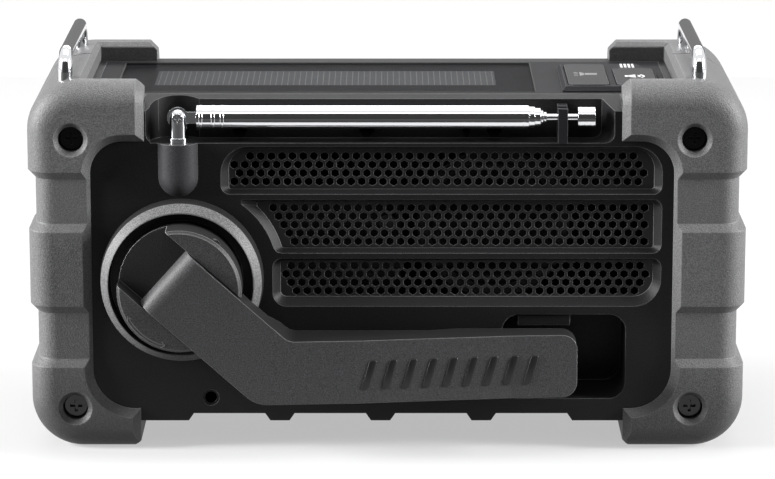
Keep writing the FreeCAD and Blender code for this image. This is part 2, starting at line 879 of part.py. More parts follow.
def top_gap(side, inner, end):
    """Cutters for the room between the two upper arms and for the bevel round its upper edges."""
    wall = f"({inner} + {side} * gap_inset)"
    tip = f"({end} - {side} * overshoot)"
    x = (wall, tip) if side < 0 else (tip, wall)
    y = (behind("front_arm_depth"), behind("rear_arm_start"))
    room = block(x, y, ("housing_top - overshoot", "overall_height + overshoot"))
    wires = []
    for level in ("overall_height - gap_bevel", "overall_height + overshoot"):
        grow = value(f"{level} - overall_height + gap_bevel")
        left, right = value(x[0]) - grow, value(x[1]) + grow
        near, far = value(y[0]) - grow, value(y[1]) + grow
        turn = value("gap_corner") + grow
        corners = [(left, near, turn), (right, near, turn), (right, far, turn), (left, far, turn)]
        wire = rounded_wire(corners, -value(level))
        wire.rotate(FreeCAD.Vector(), FreeCAD.Vector(1, 0, 0), -90)
        wires.append(wire)
    return [room, feature(Part.makeLoft(wires, True, True))]


def side_seam(side, outer):
    """A shallow groove over the top, the side and the bottom where the bumper's two halves meet."""
    past = f"({outer} + {side} * overshoot)"
    core_end = f"({outer} - {side} * seam_sink)"
    x, core_x = ((past, "0"), (core_end, "0")) if side < 0 else (("0", past), ("0", core_end))
    y = (behind("seam_depth"), behind("seam_depth + seam_width"))
    slab = block(x, y, ("0 - overshoot", "overall_height + overshoot"))
    core_y = (behind("seam_depth - overshoot"), behind("seam_depth + seam_width + overshoot"))
    core_z = ("seam_sink", "overall_height - seam_sink")
    return less(slab, rounded_block(core_x, core_y, core_z, "outer_corner - seam_sink"))


def recess_ring(side, low, high):
    """What is cut away to leave a lower band, with sloping ends, round the front, side and back."""
    step, dip, ramp = value("recess_depth"), value("recess_dip"), value("recess_ramp")
    low, high, loose = value(low), value(high), value("overshoot")
    middle = side * value("overall_width / 2 - 2 * outer_corner")
    wires = []
    for share, z in ((-1, low - ramp), (1, low), (1, high), (-1, high + ramp)):
        outer = side * (value("overall_width / 2") - share * step)
        near, far = value(FRONT) + share * dip, value(REAR) - share * dip
        bend = value("bumper_edge_round") - share * dip
        corners = [(middle, near, loose), (outer, near, bend), (outer, far, bend), (middle, far, loose)]
        wire = rounded_wire(corners, -z)
        wire.rotate(FreeCAD.Vector(), FreeCAD.Vector(1, 0, 0), -90)
        wires.append(wire)
    core = feature(Part.makeLoft(wires, True, True))
    reach = side * (value("overall_width / 2 + overshoot") + step)
    x = (reach, middle) if side < 0 else (middle, reach)
    around = block((f"{x[0]}", f"{x[1]}"), (f"{FRONT} - 2 * overshoot", f"{REAR} + 2 * overshoot"),
                   (f"{low - ramp}", f"{high + ramp}"))
    return less(around, core)


def foot_cutter(side, end, foot):
    """What is taken off the lower arm, which is shorter than the upper ones, with its bevelled edges."""
    past = f"({end} - {side} * overshoot)"
    back = f"({foot} + {side} * (bumper_bevel + overshoot))"
    plan = [(past, f"{FRONT} - overshoot"), (back, f"{FRONT} - overshoot"),
            (foot, f"{FRONT} + bumper_bevel"), (foot, f"{REAR} - bumper_bevel"),
            (back, f"{REAR} + overshoot"), (past, f"{REAR} + overshoot")]
    return extruded(plan, "0 - overshoot", "bottom_arm_top + overshoot", "XY_Plane")


def tip_corners(side, end, foot):
    """Cutters that bevel the outer corner of each arm's tip."""
    made = []
    for level, way, tip in (("overall_height", "1", end), ("0", "-1", foot)):
        far = f"({level} + {way} * overshoot)"
        low = f"({level} - {way} * (tip_bevel + overshoot))"
        past = f"({tip} - {side} * overshoot)"
        back = f"({tip} + {side} * (tip_bevel + overshoot))"
        made.append(extruded([(past, low), (back, far), (past, far)], FRONT, REAR))
    return made


def screw_place(side, height_name):
    inset = "screw_inset" if side < 0 else "right_screw_inset"
    return (f"({side} * (overall_width / 2 - {inset}))", height_name)


def screw_seat(side, height_name):
    """Countersunk holes for one screw from the front and one from the back."""
    spot = screw_place(side, height_name)
    cone = "(countersink_radius - screw_hole_radius)"
    made = []
    for face, way, end in ((FRONT, "1", FACE), (REAR, "-1", DISPLAY_FACE)):
        inner = f"({face} + {way} * {cone})"
        low, high = (face, inner) if way == "1" else (inner, face)
        radii = ("countersink_radius", "screw_hole_radius")
        radii = radii if way == "1" else radii[::-1]
        made.append(taper("y", spot, radii[0], radii[1], low, high))
        low, high = (inner, end) if way == "1" else (end, inner)
        made.append(rod("y", spot, "screw_hole_radius", low, high))
    return made


def side_window(side):
    """The opening in the side of a bumper: sockets on the left, the lamp on the right."""
    outer = f"({side} * overall_width / 2)"
    inner = f"({side} * housing_half_width)"
    if side < 0:
        return [block((f"{outer} - overshoot", inner), (behind("cover_front"), behind("cover_rear")),
                      ("cover_low", "cover_high")),
                rod("y", COVER_HINGE, "cover_pin_radius", behind("cover_front - cover_pin_end"),
                    behind("cover_rear + cover_pin_end"))]
    return [rod("x", TORCH, "torch_radius + torch_rim", inner, f"{outer} + overshoot")]


def bumper_screws():
    """Eight cross-head screws that clamp the bumpers' corners, sunk in the housing's bosses."""
    made = []
    for side in (-1, 1):
        for height_name in ("low_screw_height", "high_screw_height"):
            spot = screw_place(side, height_name)
            for face, way in ((FACE, 1), (DISPLAY_FACE, -1)):
                made.append(sunk_screw(spot, face, way))
    return piece("bumper_screws", group(*made))


def sunk_screw(spot, face, way):
    """One screw whose head lies at the bottom of its counterbore."""
    seat = f"({face} + {way} * screw_seat_depth)"
    crown = f"({seat} - {way} * screw_head_height)"
    tip = f"({seat} + {way} * screw_length)"
    spans = [(crown, seat), (seat, tip)]
    spans = [span if way > 0 else span[::-1] for span in spans]
    head = rod("y", spot, "screw_head_radius", *spans[0])
    shank = rod("y", spot, "screw_shank_radius", *spans[1])
    x, z = spot
    cross = []
    socket_end = f"({crown} + {way} * screw_socket)"
    y = (crown, socket_end) if way > 0 else (socket_end, crown)
    long_half, thin_half = "cross_half_length", "cross_half_width"
    for wide, tall in ((long_half, thin_half), (thin_half, long_half)):
        cross.append(block((f"{x} - {wide}", f"{x} + {wide}"), y, (f"{z} - {tall}", f"{z} + {tall}")))
    return less(joined(head, shank), *cross)


# Strap bars

def strap_bar(side, label):
    """A round metal staple whose two legs stand in one bumper."""
    x = side * value("strap_left" if side < 0 else "strap_right")
    low, high = value("strap_foot"), value("strap_top - strap_bar_radius")
    near, far = value(behind("strap_front_depth")), value(behind("strap_rear_depth"))
    bend = value("strap_bend")
    drop = bend * (1 - math.sqrt(0.5))
    points = [(near, low), (near, high - bend), (near + drop, high - drop), (near + bend, high),
              (far - bend, high), (far - drop, high - drop), (far, high - bend), (far, low)]
    at = [FreeCAD.Vector(x, y, z) for y, z in points]
    edges = [Part.LineSegment(at[0], at[1]).toShape(), Part.Arc(at[1], at[2], at[3]).toShape(),
             Part.LineSegment(at[3], at[4]).toShape(), Part.Arc(at[4], at[5], at[6]).toShape(),
             Part.LineSegment(at[6], at[7]).toShape()]
    ring = Part.Wire(Part.makeCircle(value("strap_bar_radius"), at[0], FreeCAD.Vector(0, 0, 1)))
    return piece(label, feature(Part.Wire(edges).makePipeShell([ring], True, False)))


def strap_legs(side):
    """Cutters for the holes that a strap bar's legs stand in."""
    x = f"({side} * {'strap_left' if side < 0 else 'strap_right'})"
    return [rod("z", (x, behind(depth)), "strap_bar_radius", "strap_foot", "overall_height + overshoot")
            for depth in ("strap_front_depth", "strap_rear_depth")]


# Crank-side and display-side housings

INNER_FLOOR = "(housing_bottom + notch_depth + wall)"
INNER_TOP = "(housing_top - wall)"
INNER_SIDE = "(housing_half_width - wall)"
PANEL_BOTTOM = "(housing_top - panel_thickness)"


def envelope(low, high):
    """The outside of the housing between two depths."""
    across = ("0 - housing_half_width", "housing_half_width")
    return rounded_block(across, (low, high), ("housing_bottom", "housing_top"), "housing_corner")


def housing_half(low, high, inner_low, inner_high):
    """A box shell that is open towards the other half."""
    shell = envelope(low, high)
    inside = rounded_block((f"0 - {INNER_SIDE}", INNER_SIDE), (inner_low, inner_high),
                           (INNER_FLOOR, INNER_TOP), "housing_corner - wall")
    return less(shell, inside)


def corner_bosses(start, end):
    """Posts that the bumper screws bite into, within the corners of a shell."""
    posts = [rod("y", screw_place(side, height), "screw_boss_radius", start, end)
             for side in (-1, 1) for height in ("low_screw_height", "high_screw_height")]
    return shared(joined(*posts), envelope(start, end))


def screw_bores(face, way):
    """Counterbores and pilot holes for the bumper screws."""
    made = []
    for side in (-1, 1):
        for height in ("low_screw_height", "high_screw_height"):
            spot = screw_place(side, height)
            seat = f"({face} + {way} * screw_seat_depth)"
            end = f"({seat} + {way} * screw_length)"
            for radius, near, far in (("screw_hole_radius", face, seat), ("screw_shank_radius", seat, end)):
                span = (near, far) if way > 0 else (far, near)
                made.append(rod("y", spot, radius, *span))
    return made


def bottom_notches(low, high):
    """Shallow channels across the bottom, which leave low ribs between them."""
    made = []
    for index in range(int(value("notch_count"))):
        middle = f"(notch_first + {index} * notch_pitch)"
        top = "(housing_bottom + notch_depth)"
        points = [(f"{middle} - notch_width / 2", "housing_bottom - overshoot"),
                  (f"{middle} + notch_width / 2", "housing_bottom - overshoot"),
                  (f"{middle} + notch_width / 2 - notch_slope", top),
                  (f"{middle} - notch_width / 2 + notch_slope", top)]
        made.append(extruded(points, low, high))
    return made


def panel_opening():
    return block(("panel_left", "panel_right"), (behind("panel_front"), behind("panel_rear")),
                 (PANEL_BOTTOM, "housing_top + overshoot"))


def antenna_boss():
    """A round-ended boss that carries the swivel of the antenna."""
    place = ("antenna_x", behind("antenna_depth"))
    ball = doc.addObject("Part::Sphere", "ball")
    bind(ball, Radius="boss_radius", x=place[0], y=place[1], z="boss_bottom + boss_radius")
    shank = rod("z", place, "boss_radius", "boss_bottom + boss_radius", "trough_floor")
    return [ball, shank]


def trough_walls():
    """The floor and back of the antenna trough, and the thicker back behind the swivel."""
    x = ("trough_left - trough_wall", "trough_right + trough_wall")
    floor = "(trough_floor - trough_wall)"
    walls = block(x, (FACE, behind("trough_depth + trough_wall")), (floor, INNER_TOP))
    bay = rod("z", ("antenna_x", behind("antenna_depth")), "swivel_clear_radius + trough_wall",
              floor, INNER_TOP)
    front = block(x, (f"{FACE} - swivel_clear_radius * 2", FACE), (f"{floor} - overshoot", "housing_top"))
    return [walls, less(bay, front)]


def trough_cutters():
    """The open space of the trough, and the slope in front of the top panel."""
    slant = "(trough_ramp / trough_depth)"
    plan = [(f"trough_left - {slant} * overshoot", f"{FACE} - overshoot"),
            (f"trough_right + {slant} * overshoot", f"{FACE} - overshoot"),
            ("trough_right - trough_ramp", behind("trough_depth")),
            ("trough_left + trough_ramp", behind("trough_depth"))]
    space = extruded(plan, "trough_floor", "housing_top + overshoot", "XY_Plane")
    floor = value("trough_floor")

    def foot(edge_line):
        """The slanting edges between the trough's floor and its ends."""
        box = edge_line.BoundBox
        return min(box.XLength, box.YLength) > 1e-6 and max(abs(box.ZMin - floor), box.ZLength) < 1e-3

    rounded(space, "trough_corner", foot)
    bay = rod("z", ("antenna_x", behind("antenna_depth")), "swivel_clear_radius",
              "trough_floor", "housing_top + overshoot")
    fall = "(top_slope_drop / (panel_front - trough_depth))"
    slope = [(behind("panel_front"), "housing_top"),
             (f"{FACE} - overshoot", f"housing_top - {fall} * (panel_front + overshoot)"),
             (f"{FACE} - overshoot", "housing_top + overshoot"),
             (behind("panel_front"), "housing_top + overshoot")]
    wedge = extruded(slope, "0 - left_arm_end", "right_arm_end", "YZ_Plane")
    return [space, bay, wedge]


def band_outlines(side_inset, edge_inset, foot_inset):
    """Corners of the three grille openings, drawn in by the given insets."""
    right = value("band_right") - side_inset
    big = value("band_big_corner") - side_inset
    small = value("band_small_corner") - side_inset * value("band_corner_share")
    low, high = value("band_one_low") + edge_inset, value("band_one_high") - edge_inset
    left = value("band_one_left") + side_inset
    first = [(left, low, small), (right, low, small), (right, high, big), (left, high, big)]
    low, high = value("band_two_low") + edge_inset, value("band_two_high") - edge_inset
    second = arc_ended(low, high, right, small, value("band_two_arc") + side_inset)
    low, high = value("band_three_low") + foot_inset, value("band_three_high") - edge_inset
    left = value("band_three_left") + side_inset
    foot = value("band_foot_corner") - side_inset
    third = [(left, low, foot), (right, low, big), (right, high, small), (left, high, small)]
    return [first, second, third]


def arc_ended(low, high, right, corner, radius):
    """An opening whose left end follows a circle round the crank's axis."""
    axis_x, axis_z = value("crank_x"), value("crank_z")
    drop, sharp = value("band_point_drop"), value("band_point_corner")
    top = math.asin((high - drop - axis_z) / radius)
    foot = math.asin((low - axis_z) / radius)
    reach = radius / math.cos((top - foot) / 2)
    middle = (top + foot) / 2
    bulge = (axis_x + reach * math.cos(middle), axis_z + reach * math.sin(middle),
             radius * value("band_bulge_share"))
    return [(axis_x + radius * math.cos(foot), low, corner), (right, low, corner), (right, high, corner),
            (axis_x + radius * math.cos(top), high, sharp),
            (axis_x + radius * math.cos(top), high - drop, sharp), bulge]


def grille_openings():
    """Three windows with sloping sides through the crank-side wall."""
    outer = band_outlines(0.0, 0.0, 0.0)
    inner = band_outlines(value("band_side_inset"), value("band_edge_inset"), value("band_foot_inset"))
    face, back = value(FACE), value(behind("wall"))
    return [feature(sunk_window(wide, narrow, face, back)) for wide, narrow in zip(outer, inner)]


def pocket_walls():
    """The closed well behind the end of the crank arm."""
    wall = "pocket_wall"
    return rounded_block((f"pocket_left - {wall}", f"pocket_right + {wall}"),
                         (FACE, behind(f"pocket_depth + {wall}")),
                         (f"pocket_bottom - {wall}", f"pocket_top + {wall}"), "pocket_corner + pocket_wall")


def pocket_space():
    return rounded_block(("pocket_left", "pocket_right"), (f"{FACE} - overshoot", behind("pocket_depth")),
                         ("pocket_bottom", "pocket_top"), "pocket_corner")


def catch_rib():
    """A rib under the roof of the well that the folded arm rests against."""
    x = ("catch_left", "catch_right")
    return block(x, (behind("catch_start"), behind("catch_depth")),
                 ("pocket_top - catch_drop", "pocket_top + overshoot"))


def crank_side_housing():
    shell = housing_half(FACE, SPLIT, behind("wall"), f"{SPLIT} + overshoot")
    bosses = corner_bosses(FACE, behind("screw_boss_length"))
    solid = joined(shell, bosses, *trough_walls(), *antenna_boss(), pocket_walls())
    cuts = trough_cutters() + [pocket_space(), panel_opening()] + grille_openings()
    cuts.append(rod("y", ("crank_x", "crank_z"), "bezel_spigot_radius", FACE, behind("wall")))
    cuts.append(rod("y", ("jack_x", "jack_z"), "jack_hole_radius", FACE, behind("wall")))
    cuts.append(rod("y", ("jack_x", "jack_z"), "jack_body_radius", behind("wall"),
                    behind("wall + jack_length")))
    cuts += screw_bores(FACE, 1) + bottom_notches(FACE, SPLIT) + strap_legs(-1) + strap_legs(1)
    return piece("crank_side_housing", joined(less(solid, *cuts), catch_rib()))


def display_side_housing():
    shell = housing_half(SPLIT, DISPLAY_FACE, f"{SPLIT} - overshoot", behind("display_face_depth - wall"))
    bosses = corner_bosses(behind("display_face_depth - screw_boss_length"), DISPLAY_FACE)
    posts = [rod("y", place, "board_post_radius", behind("board_depth + board_thickness"),
                 behind("display_face_depth - wall")) for place in board_posts()]
    cuts = screw_bores(DISPLAY_FACE, -1) + bottom_notches(SPLIT, DISPLAY_FACE)
    cuts += strap_legs(-1) + strap_legs(1) + [panel_opening(), window_space(0)]
    cuts += [key_hole(index) for index in range(len(KEY_NAMES))]
    cuts.append(rod("y", ("knob_dial_x", "knob_dial_z"), "dial_bushing_radius",
                    behind("display_face_depth - wall"), DISPLAY_FACE))
    cuts.append(rod("x", TORCH, "torch_radius", INNER_SIDE, "housing_half_width + overshoot"))
    cuts += socket_holes()
    return piece("display_side_housing", less(joined(shell, bosses, *posts), *cuts))


def board_posts():
    inset = "board_post_inset"
    return [(f"{x}", f"{z}") for x in (f"board_left + {inset}", f"board_right - {inset}")
            for z in (f"board_low + {inset}", f"board_high - {inset}")]


def window_space(grow):
    """The display opening, or the window that fills it."""
    return rounded_block((f"window_left - {grow}", f"window_right + {grow}"),
                         (behind("display_face_depth - wall"), DISPLAY_FACE),
                         (f"window_low - {grow}", f"window_high + {grow}"), "window_corner")


def key_x(index):
    return f"(small_key_first + {index} * small_key_pitch)"


def key_hole(index):
    x = key_x(index)
    half_w, half_h = "(small_key_width / 2 + key_gap)", "(small_key_height / 2 + key_gap)"
    return block((f"{x} - {half_w}", f"{x} + {half_w}"),
                 (behind("display_face_depth - wall"), DISPLAY_FACE),
                 (f"small_key_z - {half_h}", f"small_key_z + {half_h}"))


def socket_span(index):
    """Z span of one side socket."""
    middle = f"((cover_low + cover_high) / 2 + ({index} - (socket_count - 1) / 2) * socket_pitch)"
    return (f"{middle} - socket_width / 2", f"{middle} + socket_width / 2")


SOCKET_MIDDLE = "cover_rear - socket_inset"
SOCKET_Y = (behind(f"{SOCKET_MIDDLE} - socket_height / 2"), behind(f"{SOCKET_MIDDLE} + socket_height / 2"))


def socket_holes():
    return [block(("0 - housing_half_width - overshoot", f"0 - {INNER_SIDE}"), SOCKET_Y, socket_span(index))
            for index in range(int(value("socket_count")))]


# Grille and speaker

def hexagon(x, z, y, radius):
    """A six-sided wire."""
    turns = [math.radians(60 * (step % 6)) for step in range(7)]
    return Part.makePolygon([FreeCAD.Vector(x + radius * math.sin(turn), y, z + radius * math.cos(turn))
                             for turn in turns])


def fits_in(field, x, z, depth, reach, from_end):
    """Whether a hole keeps inside its band; only those near a band's ends can miss it."""
    if from_end > value("band_two_arc"):
        return True
    spots = [FreeCAD.Vector(x + reach * math.cos(a), depth, z + reach * math.sin(a))
             for a in (math.radians(45 + 90 * quarter) for quarter in range(4))]
    return all(field.isInside(spot, 1e-3, True) for spot in spots)


def mesh_holes(depth):
    """Hexagon wires in staggered rows inside each of the three bands."""
    pitch, row_pitch, radius = value("mesh_pitch"), value("mesh_row_pitch"), value("mesh_hole")
    rim = value("mesh_rim")
    holes = []
    for corners in band_outlines(value("band_side_inset"), value("band_edge_inset"),
                                 value("band_foot_inset")):
        field = Part.Face(rounded_wire(corners, depth))
        low = min(z for x, z, arc in corners) + rim + radius
        high = max(z for x, z, arc in corners) - rim - radius
        rows = int((high - low + 1e-6) / row_pitch) + 1
        first = (low + high - (rows - 1) * row_pitch) / 2
        left = min(x for x, z, arc in corners)
        right = max(x for x, z, arc in corners)
        for row in range(rows):
            z = first + row * row_pitch
            x = left + radius + rim + (row % 2) * pitch / 2
            while x < right - radius - rim:
                if fits_in(field, x, z, depth, radius + rim, min(x - left, right - x)):
                    holes.append(hexagon(x, z, depth, radius))
                x += pitch
    return holes


def speaker_grille():
    """A plate of staggered hexagon holes behind the three openings."""
    depth = value(behind("wall"))
    left, right = value("grille_left"), value("grille_right")
    low, high = value("grille_low"), value("grille_high")
    corners = [(left, low), (right, low), (right, high), (left, high), (left, low)]
    rim = Part.makePolygon([FreeCAD.Vector(x, depth, z) for x, z in corners])
    face = Part.Face([rim] + mesh_holes(depth))
    plate = face.extrude(FreeCAD.Vector(0, value("grille_thickness"), 0))
    middle = FreeCAD.Vector(value("crank_x"), depth, value("crank_z"))
    keep_out = Part.makeCylinder(value("bezel_spigot_radius + grille_crank_gap"), value("grille_thickness"),
                                 middle, FreeCAD.Vector(0, 1, 0))
    return piece("speaker_grille", feature(plate.cut(keep_out)))


SPEAKER = ("speaker_x", "speaker_z")
SPEAKER_FRONT = "(wall + grille_thickness)"


def speaker_basket():
    """A flanged cup that holds the cone and the magnet."""
    seat, foot, hole = "(cone_radius + cone_seat)", "(magnet_radius + basket_wall)", "voice_coil_radius"
    profile = [(seat, "0"), ("speaker_radius", "0"), ("speaker_radius", "speaker_flange"),
               (f"{seat} + basket_wall", "speaker_flange"), (foot, "speaker_depth"), (hole, "speaker_depth"),
               (hole, "speaker_depth - basket_wall"),
               (f"{foot} - basket_wall", "speaker_depth - basket_wall"), (seat, "speaker_flange")]
    return piece("speaker_basket", turned(profile, "y", SPEAKER, behind(SPEAKER_FRONT)))


def speaker_cone():
    """A paper cone with a raised surround and a dust cap."""
    seat, hole, paper = "(cone_radius + cone_seat)", "voice_coil_radius", "cone_thickness"
    root, crest = "(cone_radius - surround_width)", "(cone_radius - surround_width / 2)"
    profile = [("0", "cap_depth"), (f"{hole} + paper", "cap_depth * 1.5"), (root, "surround_height"),
               (crest, "surround_crest"), (seat, "surround_height"), (seat, "surround_height + paper"),
               (crest, "surround_crest + paper"), (root, "surround_height + paper"),
               (f"{hole} + paper", "coil_depth"), (hole, "coil_depth"), (hole, "cap_depth * 1.5 + paper"),
               ("0", "cap_depth + paper")]
    profile = [(r.replace("paper", paper), h.replace("paper", paper)) for r, h in profile]
    return piece("speaker_cone", turned(profile, "y", SPEAKER, behind(SPEAKER_FRONT)))


def speaker_magnet():
    """A ring magnet behind the basket with the pole that the coil rides on."""
    start = f"({SPEAKER_FRONT} + speaker_depth)"
    ring = rod("y", SPEAKER, "magnet_radius", behind(start), behind(f"{start} + magnet_depth"))
    pole = rod("y", SPEAKER, "voice_coil_radius - coil_gap", behind(f"{start} - pole_length"), behind(start))
    return piece("speaker_magnet", joined(ring, pole))


# Crank

CRANK = ("crank_x", "crank_z")


def crank_bezel():
    """A fixed ring round the drum, with a sloping band."""
    inner, spigot = "bezel_inner_radius", "bezel_spigot_radius"
    profile = [(inner, "0 - wall"), (spigot, "0 - wall"), (spigot, "0"), ("bezel_base_radius", "0"),
               ("bezel_base_radius", "bezel_foot_height"), ("bezel_band_radius", "bezel_band_height"),
               (inner, "bezel_height")]
    return piece("crank_bezel", outward(profile))


def outward(profile):
    """A turned body on the crank's axis whose heights run out of the face."""
    body = turned(profile, "y", CRANK, FACE)
    body.Placement = FreeCAD.Placement(body.Placement.Base, FreeCAD.Rotation(FreeCAD.Vector(1, 0, 0), 90))
    return body


def across_crank(points, low, high):
    """A bar whose outline is given along the arm and out of the face, across the crank's slot."""
    body = doc.addObject("PartDesign::Body", "body")
    sketch = sketch_outline(body, "XZ_Plane", points, f"0 - ({high})")
    pad = body.newObject("PartDesign::Pad", "pad")
    pad.Profile = sketch
    pad.setExpression("Length", sized(f"({high}) - ({low})"))
    doc.recompute()
    return turn_to_arm(body)


def turn_to_arm(body):
    """Turn local X along the arm, local Z out of the face and local Y across the slot."""
    slope = math.radians(value("crank_angle"))
    arm = FreeCAD.Vector(math.cos(slope), 0, -math.sin(slope))
    out = FreeCAD.Vector(0, -1, 0)
    body.Placement = FreeCAD.Placement(FreeCAD.Vector(), FreeCAD.Rotation(arm, out.cross(arm), out, "ZXY"))
    return bind(body, x="crank_x", y=FACE, z="crank_z")


def crank_drum():
    """The turning hub: a flange, two ears and the slot between them that the arm folds into."""
    profile = [("0", "0 - drum_back"), ("drum_flange_radius", "0 - drum_back"),
               ("drum_flange_radius", "drum_flange_top"), ("drum_radius", "drum_flange_top"),
               ("drum_radius", "drum_height - drum_bevel"), ("drum_radius - drum_bevel", "drum_height"),
               ("0", "drum_height")]
    half = "(arm_width / 2 + arm_gap)"
    reach = "drum_radius + overshoot"
    slot = across_crank([(f"0 - ({reach})", "slot_floor"), (reach, "slot_floor"),
                         (reach, "drum_height + overshoot"), (f"0 - ({reach})", "drum_height + overshoot")],
                        f"0 - {half}", half)
    pin = hinge_rod("hinge_pin_radius", f"0 - ({reach})", reach)
    bore = rod("y", CRANK, "crank_shaft_radius", FACE, behind("drum_back"))
    return piece("crank_drum", less(outward(profile), slot, pin, bore))


def hinge_rod(radius, low, high):
    """A round bar on the axis that the arm folds about."""
    bar = doc.addObject("Part::Cylinder", "hinge")
    bind(bar, Radius=radius, Height=f"({high}) - ({low})")
    slope = math.radians(value("crank_angle"))
    arm = FreeCAD.Vector(math.cos(slope), 0, -math.sin(slope))
    hinge = FreeCAD.Vector(math.sin(slope), 0, math.cos(slope))
    turned_to = FreeCAD.Rotation(arm, FreeCAD.Vector(), hinge, "ZXY")
    bar.Placement = FreeCAD.Placement(FreeCAD.Vector(), turned_to)
    turn = "crank_angle * 1deg"
    return bind(bar, x=f"crank_x - hinge_offset * cos({turn}) + ({low}) * sin({turn})",
                y=behind("0 - hinge_height"),
                z=f"crank_z + hinge_offset * sin({turn}) + ({low}) * cos({turn})")


def crank_hinge_pin():
    reach = "(drum_radius - pin_inset)"
    return piece("crank_hinge_pin", hinge_rod("hinge_pin_radius", f"0 - {reach}", reach))


def arm_plan():
    """Corners of the arm as one looks at the face: barrel, elbow and straight handle."""
    slope = math.radians(value("crank_angle"))
    arm = (math.cos(slope), -math.sin(slope))
    side = (math.sin(slope), math.cos(slope))
    half = value("arm_width / 2")
    start = -value("hinge_offset + arm_rim_radius")
    x, z = value("crank_x"), value("crank_z")
    top, foot = value("handle_mid + handle_height / 2"), value("handle_mid - handle_height / 2")
    corners = []
    for sign, height in ((1, top), (-1, foot)):
        edge_x, edge_z = x + sign * half * side[0], z + sign * half * side[1]
        reach = (edge_z - height) / -arm[1]
        corners.append(((edge_x + arm[0] * start, edge_z + arm[1] * start),
                        (edge_x + arm[0] * reach, height)))
    end, corner, sharp = value("arm_end"), value("arm_corner"), value("arm_sharp_corner")
    (top_start, top_elbow), (foot_start, foot_elbow) = corners
    return [(*foot_start, sharp), (*foot_elbow, value("arm_outer_bend")), (end, foot, corner),
            (end, top, corner), (*top_elbow, value("arm_inner_bend")), (*top_start, sharp)]


def arm_side_cutter():
    """What lies outside the arm's sloping outer face, as seen from below."""
    root = "crank_reach"
    line = [("crank_x + arm_step", root), ("arm_elbow_at", "arm_elbow_proud"),
            ("arm_grip_at", "arm_grip_proud"), ("arm_end + overshoot", "arm_end_proud")]
    points = [(x, behind(f"0 - ({proud})")) for x, proud in line]
    far = behind("0 - crank_reach - crank_span")
    points = [(f"crank_x + arm_step", far)] + points + [("arm_end + overshoot", far)]
    return extruded(points, "0", "crank_z + crank_span", "XY_Plane")


def crank_arm():
    """The folding arm, thin over the bumper and the antenna and hollow under the grip."""
    near, far = value(behind("0 - crank_reach")), value(behind("0 - arm_rim_far"))
    plan = Part.Face(rounded_wire(arm_plan(), near)).extrude(FreeCAD.Vector(0, far - near, 0))
    plate = feature(plan)
    ramp_end = "arm_step + arm_hub_ramp"
    under_hub = across_crank([("0 - crank_span", "0 - overshoot"), (ramp_end, "0 - overshoot"),
                              (ramp_end, "arm_rim_near"), ("arm_step", "arm_rim_hub"),
                              ("0 - crank_span", "arm_rim_hub")],
                             "0 - crank_span", "crank_span")
    ramp_end = "arm_far_start + arm_rim_ramp"
    under_middle = extruded([("crank_x - crank_span", behind("0 - arm_rim_near")),
                             ("arm_far_start", behind("0 - arm_rim_near")),
                             (ramp_end, behind("0 - arm_rim_far")), (ramp_end, FACE),
                             ("crank_x - crank_span", FACE)],
                            "0", "crank_z + crank_span", "XY_Plane")
    barrel = barrel_trim()
    pin = hinge_rod("hinge_pin_radius + running_gap", "0 - crank_span", "crank_span")
    cuts = [arm_side_cutter(), under_hub, under_middle, barrel, pin, knob_channel()]
    return piece("crank_arm", less(plate, *cuts))


def barrel_trim():
    """What is cut away to round the hinged end of the arm."""
    low, high = "arm_rim_hub - overshoot", "crank_reach + overshoot"
    outside = across_crank([("0 - crank_span", low), ("0 - hinge_offset", low), ("0 - hinge_offset", high),
                            ("0 - crank_span", high)], "0 - crank_span", "crank_span")
    return less(outside, hinge_rod("arm_rim_radius", "0 - crank_span", "crank_span"))


def knob_channel():
    """The hollow under the grip where the knob lies when it is folded."""
    half = "(knob_radius + knob_channel_gap)"
    top = f"(arm_rim_far + 2 * {half})"
    return block((f"knob_pin_x - knob_reach - {half}", f"knob_pin_x + {half}"),
                 (behind(f"0 - {top}"), behind("0 - arm_rim_far + overshoot")),
                 (f"handle_mid - {half}", f"handle_mid + {half}"))


KNOB_DEPTH = "(0 - arm_rim_far - knob_radius - knob_channel_gap)"


def knob_pin():
    """A small pin across the end of the channel that the knob folds on."""
    half = "(knob_radius + knob_channel_gap)"
    return piece("knob_pin", rod("z", ("knob_pin_x", behind(KNOB_DEPTH)), "knob_pin_radius",
                                 f"handle_mid - {half}", f"handle_mid + {half}"))


KNOB_TIP = "(knob_pin_x - knob_reach)"


def knob_axle():
    """An eye on the pin with the axle that the knob turns on, and its end disc."""
    eye_half = "(knob_radius - knob_eye_gap)"
    eye = rod("z", ("knob_pin_x", behind(KNOB_DEPTH)), eye_half, f"handle_mid - {eye_half}",
              f"handle_mid + {eye_half}")
    axis = (behind(KNOB_DEPTH), "handle_mid")
    axle = rod("x", axis, "knob_axle_radius", f"{KNOB_TIP} + knob_disc", "knob_pin_x - knob_start / 2")
    disc = rod("x", axis, "knob_radius - 2 * knob_eye_gap", KNOB_TIP, f"{KNOB_TIP} + knob_disc")
    bore = rod("z", ("knob_pin_x", behind(KNOB_DEPTH)), "knob_pin_radius + running_gap", "0",
               "handle_mid * 2")
    return piece("knob_axle", less(joined(eye, axle, disc), bore))


def crank_knob():
    """The roller that fingers hold, free to spin on its axle."""
    axis = (behind(KNOB_DEPTH), "handle_mid")
    start = f"{KNOB_TIP} + knob_disc + running_gap"
    end = "knob_pin_x - knob_start"
    roller = rod("x", axis, "knob_radius", start, end)
    bore = rod("x", axis, "knob_axle_radius + running_gap", start, end)
    return piece("crank_knob", less(roller, bore))


# Gear train

